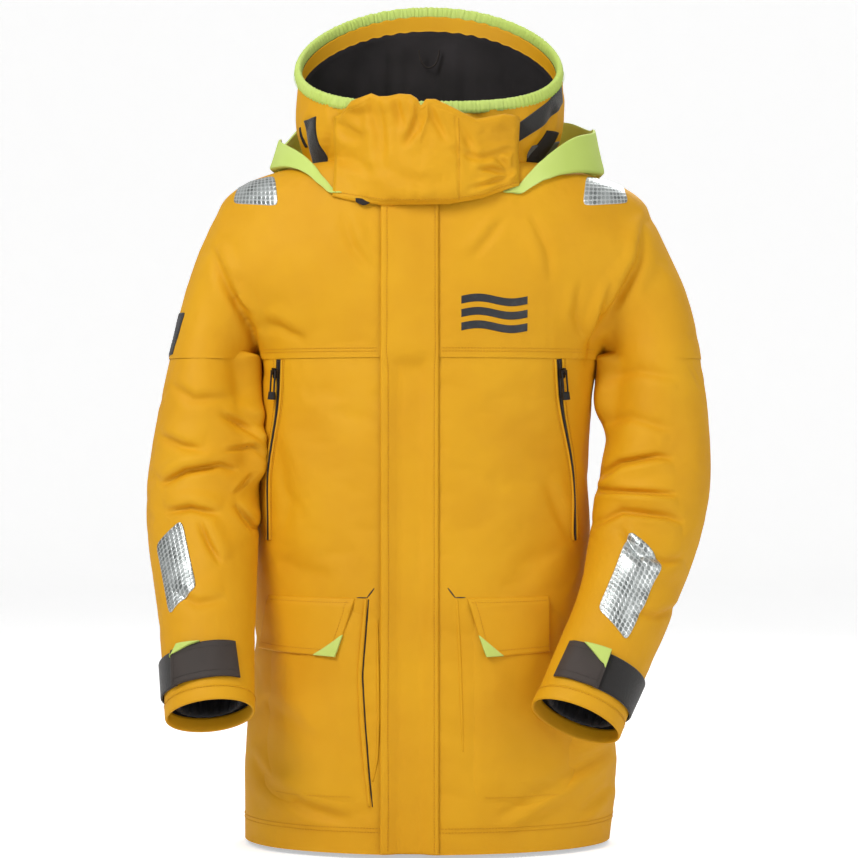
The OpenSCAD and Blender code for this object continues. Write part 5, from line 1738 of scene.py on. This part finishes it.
dress(slab("collar_strap", P, 1.8, black_tape, lift=0.4, edge=1.4, hint=(1, -0.5, 0)), "torso", "dark_fabric")
P = on_collar(lambda s, t: (ua + 8 + 26 * s, lo[2] - 34 + 36 * t + 14 * s), steps(16, 60, 1.5),
              steps(12, 40, 1.5))
dress(slab("collar_mesh", P, 1.4, mesh_cloth, lift=0.2, edge=1.4, hint=(1, -0.5, 0)), "torso",
      "lining_fabric")
lo, hi = box("hanger_loop")
ang = np.linspace(-0.35, math.pi + 0.35, 40)
mid = (lo + hi) / 2
loop = np.stack([mid[0] + (hi[0] - lo[0]) / 2 * np.cos(ang), mid[1] - 4 + 0 * ang,
                 hi[2] - 2 - (hi[2] - lo[2] - 4) * np.sin(np.clip(ang, 0, math.pi))], -1)
dress(tube("hanger_loop_cord", loop, 2.4, black_tape, sides=12, squeeze=0.5, up=(0, 1, 0)), "torso",
      "dark_fabric", "hanger_loop")

# ---- face guard ------
guard_tree = node_tree("face_guard")
glo, ghi = box("face_guard")
gw, gh = ghi[0] - glo[0], ghi[2] - glo[2]


low_keys = np.array([(-0.01, 0.10), (0.10, 0.05), (0.27, 0.005), (0.62, 0.01), (0.80, 0.07), (0.90, 0.135),
                     (1.0, 0.20)])
top_keys = np.array([(-0.01, 0.87), (0.05, 0.90), (0.10, 0.99), (0.16, 1.02), (0.21, 1.05), (0.25, 1.02),
                     (0.30, 1.02), (0.36, 1.04), (0.42, 1.03),
                     (0.455, 0.99), (0.475, 0.92), (0.50, 0.985), (0.55, 0.985), (0.62, 0.93),
                     (0.70, 0.86), (0.77, 0.81), (0.80, 0.82),
                     (0.92, 0.87), (1.0, 0.86)])


def guard_place(s, t):
    low = glo[2] + gh * np.interp(s, low_keys[:, 0], low_keys[:, 1])
    top = glo[2] + gh * np.interp(s, top_keys[:, 0], top_keys[:, 1])
    return glo[0] + (gw + 2) * s + 2.0 * math.sin(3 * t) * (1 - 2 * s), low + (top - low) * t


ss, ts = np.linspace(0, 1, 130), np.linspace(0, 1, 70)
ss = np.unique(np.concatenate([ss, steps(2, gw, 4)]))
ts = np.unique(np.concatenate([ts, steps(2, gh, 6)]))
P = np.full((len(ss), len(ts), 3), np.nan)
for i, s in enumerate(ss):
    for j, t in enumerate(ts):
        x, z = guard_place(s, t)
        found = []
        for tree, gap_ in ((collar_skin, 1.6), (coat_tree, 2.4)):
            p, _ = hit(tree, (x, -400, z), (0, 1, 0))
            if p is not None and p[1] < -30:
                found.append(p[1] - gap_)
        skin_y = min(found) if found else np.nan
        p, _ = hit(guard_tree, (x, -400, min(z, ghi[2] - 1)), (0, 1, 0))
        guard_y = p[1] + 6 if p is not None else skin_y
        own = smooth01(s / 0.3) * smooth01(t / 0.2 + 0.4)
        y = guard_y if np.isnan(skin_y) else min(skin_y, guard_y * own + skin_y * (1 - own))
        P[i, j] = (x, y, z)
Y = P[..., 1]
for j in range(len(ts)):
    good = ~np.isnan(Y[:, j])
    if good.sum() > 4:
        Y[:, j] = np.interp(ss, ss[good], Y[good, j])
for i in range(len(ss)):
    good = ~np.isnan(Y[i])
    Y[i] = np.interp(ts, ts[good], Y[i, good]) if good.any() else -120
over = bump(ts, 1.0, 0.14)[None, :] * ramp(ss, 0.05, 0.14)[:, None] * (1 - 0.5 * ramp(ss, 0.66, 0.78))[:,
        None]
Y -= 9.0 * over
P[..., 1] = Y
P[..., 1] = soften(P, 14)[..., 1]
S, T = np.meshgrid(ss, ts, indexing="ij")
swell = 4.0 * np.sin(np.pi * np.clip(S, 0, 1)) ** 0.6 * np.sin(np.pi * T) ** 0.5 + 3.5 * bump(T, 0.95,
        0.12) * (0.6 + 0.6 * noise(P * 1.0 + 5, 30))
swell += 2.2 * noise(P * [1, 1, 0.5] + 31, 34) + 1.1 * noise(P + 77, 15) + 0.5 * noise(P + 7, 7)


def groove(a, b, bend, width, depth):
    """A fold on the guard from a to b in shares of its width and height."""
    q = np.linspace(0, 1, 30)
    lx = a[0] + (b[0] - a[0]) * q + bend[0] * np.sin(np.pi * q)
    lz = a[1] + (b[1] - a[1]) * q + bend[1] * np.sin(np.pi * q)
    e = np.hypot((S[..., None] - lx) * gw, (T[..., None] - lz) * gh)
    k = q[e.argmin(-1)]
    d = e.min(-1)
    fade = np.sin(np.pi * np.clip(k * 0.9 + 0.08, 0, 1)) ** 0.5
    return fade * (-depth * np.exp(-(d / width) ** 2) + 0.55 * depth
                   * np.exp(-((d - 1.7 * width) / (1.1 * width)) ** 2))


for a, b, bend, w, depth in (((0.22, 1.02), (0.27, 0.35), (0.015, 0), 7, 5.5),
                             ((0.475, 1.0), (0.40, 0.55), (0.02, 0), 4.5, 6.5),
                             ((0.34, 1.0), (0.37, 0.72), (0.0, 0), 5, 3.5),
                             ((0.03, 0.86), (0.18, 0.60), (0.0, -0.04), 6, 4.0),
                             ((0.94, 0.18), (0.79, 0.36), (0.0, 0.03), 4, 4.5),
                             ((0.95, 0.20), (0.87, 0.48), (0.0, 0.02), 4, 4.0),
                             ((0.96, 0.22), (0.99, 0.50), (0.0, 0.0), 4, 3.5),
                             ((0.93, 0.14), (0.74, 0.14), (0.0, 0.02), 4, 3.5),
                             ((0.66, 0.55), (0.97, 0.52), (0, -0.04), 6, 3.0),
                             ((0.70, 0.80), (0.74, 0.45), (0.01, 0), 6, 3.0),
                             ((0.05, 0.42), (0.24, 0.24), (0, 0.03), 8, 3.0),
                             ((0.30, 0.30), (0.60, 0.20), (0, -0.05), 9, 2.5),
                             ((0.52, 0.92), (0.60, 0.62), (0.0, 0), 5, 3.0)):
    swell += groove(a, b, bend, w, depth)
seam_s = (0.135 * gw + (0 - glo[0])) / gw
swell -= 1.8 * np.exp(-((S - seam_s - 0.02 * (1 - T)) * gw / 1.4) ** 2) * (T < 0.93)
swell = np.maximum(swell, 0.2)
edge_d = np.minimum(np.minimum(S * 0.6, 1 - S) * gw, np.minimum(T, 1 - T) * gh)
guard_piece = slab("face_guard_cloth", P, 2.6, shell, lift=0, edge=5, belly=swell * ramp(edge_d, 0, 8),
                   under=0.8, back=lining)
dress(guard_piece, "face_guard", "shell_fabric", "face_guard")
N, _ = grid_normals(P, (0, -1, 0))
top = P + N * ((swell * ramp(edge_d, 0, 8)) + 2.6)[..., None]
i_seam = int(np.argmin(abs(ss - seam_s)))
j_low = int(np.argmin(abs(ts * gh - 8)))
rows = [(top[4:-4, j_low], N[4:-4, j_low]), (top[i_seam + 2, 4:-8], N[i_seam + 2, 4:-8])]
stitches("face_guard_stitches", rows, thread, "face_guard", lift=0.2)
tri = on_front(lambda s, t: (glo[0] + 0.13 * gw + 0.085 * gw * s,
                             glo[2] + 9 - 11 * t * (1 - 0.6 * abs(2 * s - 1))), steps(6, 18, 1),
                             steps(4, 10, 1))
dress(slab("guard_under_tab", tri, 1.2, black_tape, lift=5.5, edge=1), "torso", "dark_fabric")

# ---- hood: bright cloth lying round the back of the collar, its front ends on the shoulders ------
def ground(x, y):
    p, _ = hit(coat_tree, (x, y, 1100), (0, 0, -1))
    return NECK_Z if p is None else p[2]


wing_box = {-1: box("right_hood_wing"), 1: box("left_hood_wing")}
hood_hi = box("hood_shell")[1]
brim_hi = box("hood_brim")[1]
HN = 320


def hood_keys(side):
    """Keys by the angle from the side, negative to the front and 90 at the back.

    They are the lower edge's reach, the wall's height, the bag's hang and the rim's lean."""
    lo, hi = wing_box[side]
    far = hi[0] if side > 0 else abs(lo[0])
    near = lo[0] if side > 0 else abs(hi[0])
    tip_x, tip_y = near - 16, -124.0
    tip = math.degrees(math.atan2(tip_y, tip_x))
    high = 64 if side > 0 else 44
    angle = [tip, tip * 0.72, tip * 0.38, -7, 1, 14, 30, 48, 66, 90]
    wide = (0.80, 0.93) if side > 0 else (0.89, 0.965)
    reach = [math.hypot(tip_x, tip_y), far * wide[0], far * wide[1], far * 1.02, far * 1.01, far, far,
             far * 0.99, hood_hi[1] - 18, hood_hi[1] - 8]
    start = 0.34 if side > 0 else 0.28
    wall = [3, start * high, 2.1 * start * high, 0.86 * high, high, high, high, high, high, high]
    hang = [0, 0, 0, 0, 0, 14, 70, 128, 156, 164]
    lean = [5, 8, 11, 12, 12, 14, 18, 22, 25, 26]
    return angle, reach, wall, hang, lean


wing_floor = {False: wing_box[1][0][2] + 6, True: wing_box[1][0][2] + 16}
wing_angles = [hood_keys(s_)[0][0] for s_ in (1, -1)]
angles = np.concatenate([np.linspace(wing_angles[0], 90, HN // 2, endpoint=False),
                         np.linspace(90, 180 - wing_angles[1], HN // 2)])
vals = []
for a in angles:
    side = 1 if a <= 90 else -1
    q = a if side > 0 else 180 - a
    keys = hood_keys(side)
    vals.append([np.interp(q, keys[0], k) for k in keys[1:]])
vals = np.array(vals)
for _ in range(14):
    vals[1:-1] = 0.5 * vals[1:-1] + 0.25 * (vals[:-2] + vals[2:])
back_rim = brim_hi[2] + 2
corner_rim = {}
for a, (reach, wall, hang, lean) in zip(angles, vals):
    side = 1 if a <= 90 else -1
    if abs((a if side > 0 else 180 - a) - 1) < 0.7:
        u = math.radians(a)
        corner_rim[side] = max(ground(math.cos(u) * 232, math.sin(u) * 232), wing_floor[a > 90]) + 4 + wall
rings_hood = []
for a, (reach, wall, hang, lean) in zip(angles, vals):
    u = math.radians(a)
    d = np.array([math.cos(u), math.sin(u), 0])
    p, _ = hit(collar_tree, np.array([0, 0, NECK_Z + 12]) + d * 400, -d, 390)
    r_in = min(float(np.dot(p, d)) + 3, reach - 5)
    bag = smooth01(hang / 100)
    floor_out = max(ground(*(d[:2] * min(reach - 4, 232))), wing_floor[a > 90])
    base_out = (1 - bag) * (floor_out + 4) + bag * (NECK_Z - hang)
    base_in = (1 - bag) * (ground(*(d[:2] * r_in)) + 4) + bag * (NECK_Z + 2)
    base_in = min(base_in, NECK_Z + 6)
    r_in = (1 - bag) * (reach - 10) + bag * r_in
    base_in = (1 - bag) * (base_out + 0.5) + bag * base_in
    side, q = (1, a) if a <= 90 else (-1, 180 - a)
    rim = base_out + wall
    if q > 1:
        rim = corner_rim[side] + (back_rim - corner_rim[side]) * smooth01((q - 1) / 34)
    rise = rim - base_out
    top_r = reach - lean
    gap_r = reach - r_in
    thin = [(r_in, base_in), (r_in + 0.35 * gap_r, 0.65 * base_in + 0.35 * base_out),
            (r_in + 0.7 * gap_r, 0.3 * base_in + 0.7 * base_out),
            (reach - 4, base_out), (reach, base_out + 0.08 * rise),
            (reach - 0.28 * lean, base_out + 0.35 * rise),
            (reach - 0.65 * lean, base_out + 0.7 * rise), (top_r + 0.9, rim - 1.2), (top_r - 0.7, rim),
            (top_r - 2.4, rim - 1.4),
            (reach - 0.6 * lean - 3.6, base_out + 0.6 * rise),
            (reach - 0.25 * lean - 4.5, base_out + 0.3 * rise),
            (r_in + 0.4 * gap_r, base_in + 3.2), (r_in + 0.1 * gap_r, base_in + 2.2)]
    full = [(r_in, base_in), (r_in + 0.3 * gap_r, base_in - 0.35 * hang), (r_in + 0.5 * gap_r, base_out - 14),
            (reach - 24, base_out - 22), (reach - 4, base_out + 10), (reach + 2, base_out + 0.35 * rise),
            (reach - 2, base_out + 0.7 * rise),
            (top_r + 2, rim - 3), (top_r - 2, rim), (top_r - 6, rim - 3), (top_r - 14, rim - 26),
            (top_r - 30, rim - 48),
            (r_in + 16, NECK_Z + 12), (r_in + 3, NECK_Z + 12)]
    loop = np.array(thin) * (1 - bag) + np.array(full) * bag
    k = len(loop)
    dense = []
    for e in np.linspace(0, k, 70, endpoint=False):
        i0 = int(e)
        f = e - i0
        p0, p1, p2, p3 = (loop[(i0 + m_) % k] for m_ in (-1, 0, 1, 2))
        dense.append(0.5 * ((2 * p1) + (-p0 + p2) * f + (2 * p0 - 5 * p1 + 4 * p2 - p3) * f ** 2
                            + (-p0 + 3 * p1 - 3 * p2 + p3) * f ** 3))
    rings_hood.append([[d[0] * r, d[1] * r, z] for r, z in dense])
HG = np.array(rings_hood)
HG[1:-1] = 0.5 * HG[1:-1] + 0.25 * (HG[:-2] + HG[2:])
nh, nk = HG.shape[:2]
V = HG.reshape(-1, 3)
i, j = np.meshgrid(np.arange(nh - 1), np.arange(nk), indexing="ij")
F = np.stack([i * nk + j, (i + 1) * nk + j, (i + 1) * nk + (j + 1) % nk, i * nk + (j + 1) % nk],
             -1).reshape(-1, 4)
centre = HG.mean(1)
if ((V[F].mean(1) - centre[F[:, 0] // nk])
    * np.cross(V[F[:, 1]] - V[F[:, 0]], V[F[:, 3]] - V[F[:, 0]])).sum() < 0:
    F = F[:, ::-1]
N = normals(V, F)
back_share = ramp(V[:, 1], 60, 190)
ripple = 4.0 * noise(V * [1, 1, 0.55] + 19, 62) + 2.0 * noise(V * [1, 1, 0.5] + 3, 26) + 0.6 * noise(V + 8,
        11)
V = V + N * (ripple * (0.1 + 0.9 * back_share))[:, None]
for x_a, z_a, x_b, z_b, sagg in ((-150, 860, 120, 800, -26), (-120, 800, 160, 850, -30),
                                 (-165, 900, -40, 770, 10), (60, 770, 170, 890, 8), (-60, 745, 80, 748, -10)):
    q = np.linspace(0, 1, 30)
    lx = x_a + (x_b - x_a) * q
    lz = z_a + (z_b - z_a) * q + sagg * np.sin(np.pi * q)
    d2 = np.full(len(V), 1e9)
    for x, z in zip(lx, lz):
        d2 = np.minimum(d2, np.hypot(V[:, 0] - x, V[:, 2] - z))
    outer = ramp(V[:, 1], 150, 190)
    V = V - N * (outer * (6 * np.exp(-(d2 / 9) ** 2) - 3.5 * np.exp(-((d2 - 17) / 11) ** 2)))[:, None]
tri = []
for q in range(nk):
    tri.append([len(V), q, (q + 1) % nk])
    tri.append([len(V) + 1, (nh - 1) * nk + (q + 1) % nk, (nh - 1) * nk + q])
V = np.vstack([V, V[:nk].mean(0), V[-nk:].mean(0)])
one_way = {tuple(e) for f in F.tolist() for e in zip(f, f[1:] + f[:1])}
tri = [[t[0], t[2], t[1]] if (t[1], t[2]) in one_way else t for t in tri]
faces = F.tolist() + tri
hood_piece = add_mesh("hood_cloth", V, faces, neon)
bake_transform(hood_piece)
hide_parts("hood_shell", "right_hood_wing", "left_hood_wing")
hood_skin = tree_of(V[:-2], F)

# brim: a stiffened edge over the back of the hood
k_rim = 70 * 8 // 14
mid_rows = [r for r in range(nh) if 52 < angles[r] < 128]
edge_line = np.array([V[r * nk + k_rim] for r in mid_rows])
for _ in range(4):
    edge_line[1:-1] = 0.5 * edge_line[1:-1] + 0.25 * (edge_line[:-2] + edge_line[2:])
o = tube("hood_brim_edge", edge_line,
         5.2 * np.sin(np.linspace(0.15, math.pi - 0.15, len(edge_line))) ** 0.4, neon, sides=14, squeeze=0.8)
dress(o, "hood", "bright_fabric", "hood_brim")

# neck panel under the hood, and the hood's adjuster at the back
lo, hi = box("hood_neck_panel")
P = on_front(quad_place([(120, lo[2] + 6), (-120, lo[2] + 6), (-110, hi[2] - 4), (110, hi[2] - 4)]),
             steps(30, 230, 3),
             steps(16, 110, 3), way=(0, -1, 0), smooth=3)
dress(slab("hood_neck_cloth", P, 1.6, neon, lift=0.6, edge=2.5, hint=(0, 1, 0)), "torso", "bright_fabric",
      "hood_neck_panel")
lo, hi = box("hood_adjuster")
P = on_front(quad_place([(hi[0] - 1, lo[2] + 14), (lo[0] + 1, lo[2] + 14), (lo[0] + 1, hi[2] + 8),
                         (hi[0] - 1, hi[2] + 8)]), steps(8, 24, 2), steps(30, 120, 2),
             tree=hood_skin, way=(0, -1, 0), smooth=8)
dress(slab("hood_adjuster_strap", P, 2.0, black_tape, lift=0.8, edge=1.6, hint=(0, 1, 0), under=1.2),
      "hood", "dark_fabric", "hood_adjuster")
pull = P[:, :7] + [0, 3.0, 0]
dress(slab("hood_adjuster_pull", pull, 1.4, neon, lift=0.2, edge=1.4, hint=(0, 1, 0), under=0.4), "hood",
      "bright_fabric")

# ---- stage, light and camera ------
top = start_box[1][2] * 1000
scene = bpy.context.scene
scene.view_settings.view_transform = "Standard"
floor_mat = Nodes("floor")
floor_mat.bsdf.inputs["Base Color"].default_value = (0.9, 0.9, 0.9, 1)
floor_mat.bsdf.inputs["Roughness"].default_value = 0.9
floor_mat.bsdf.inputs["Emission Color"].default_value = (1, 1, 1, 1)
path = floor_mat.add("LightPath")
floor_mat.link(floor_mat.math("MULTIPLY", path.outputs["Is Camera Ray"], 0.5),
               floor_mat.bsdf.inputs["Emission Strength"])
# a shallow round dish with the coat at its middle
bend, flat_r, floor_z = 1500.0, 5500.0, -6.0
arc_a = np.linspace(0, math.pi / 2, 14)
profile = [(0.01, floor_z)] + [(flat_r + bend * math.sin(a),
                                floor_z + bend - bend * math.cos(a)) for a in arc_a] + [(flat_r + bend,
                                        9000.0)]
ring_a = np.arange(96) * 2 * math.pi / 96
G = np.array([[(r * math.cos(a), r * math.sin(a), z) for r, z in profile] for a in ring_a])
floor = add_mesh("studio_floor", G.reshape(-1, 3), grid_faces(96, len(profile), wrap=True), floor_mat.mat)

world = bpy.data.worlds.new("studio")
scene.world = world
world.use_nodes = True
world.node_tree.nodes["Background"].inputs[0].default_value = (1, 1, 1, 1)
world.node_tree.nodes["Background"].inputs[1].default_value = 0.55


def area(name, where, aim, size, watts):
    lamp = bpy.data.lights.new(name, "AREA")
    lamp.shape = "DISK"
    lamp.size = size
    lamp.energy = watts
    o = bpy.data.objects.new(name, lamp)
    bpy.context.collection.objects.link(o)
    o.location = where
    o.rotation_euler = (Vector(aim) - Vector(where)).to_track_quat("-Z", "Y").to_euler()
    return o


middle = (0, 0, top * 0.55 * MM)
area("key_light", (-1.5, -2.0, 2.5), middle, 1.3, 52)
area("fill_light", (2.2, -2.2, 1.3), middle, 2.0, 20)
area("rim_light", (0.6, 1.7, 2.2), middle, 1.4, 26)

cam = bpy.data.cameras.new("camera")
cam.sensor_width = 36
cam.lens = 108
camera = bpy.data.objects.new("camera", cam)
bpy.context.collection.objects.link(camera)
camera.location = (0.0, -3.4, 0.483 * top * MM)
camera.rotation_euler = (math.pi / 2, 0, 0)
scene.camera = camera
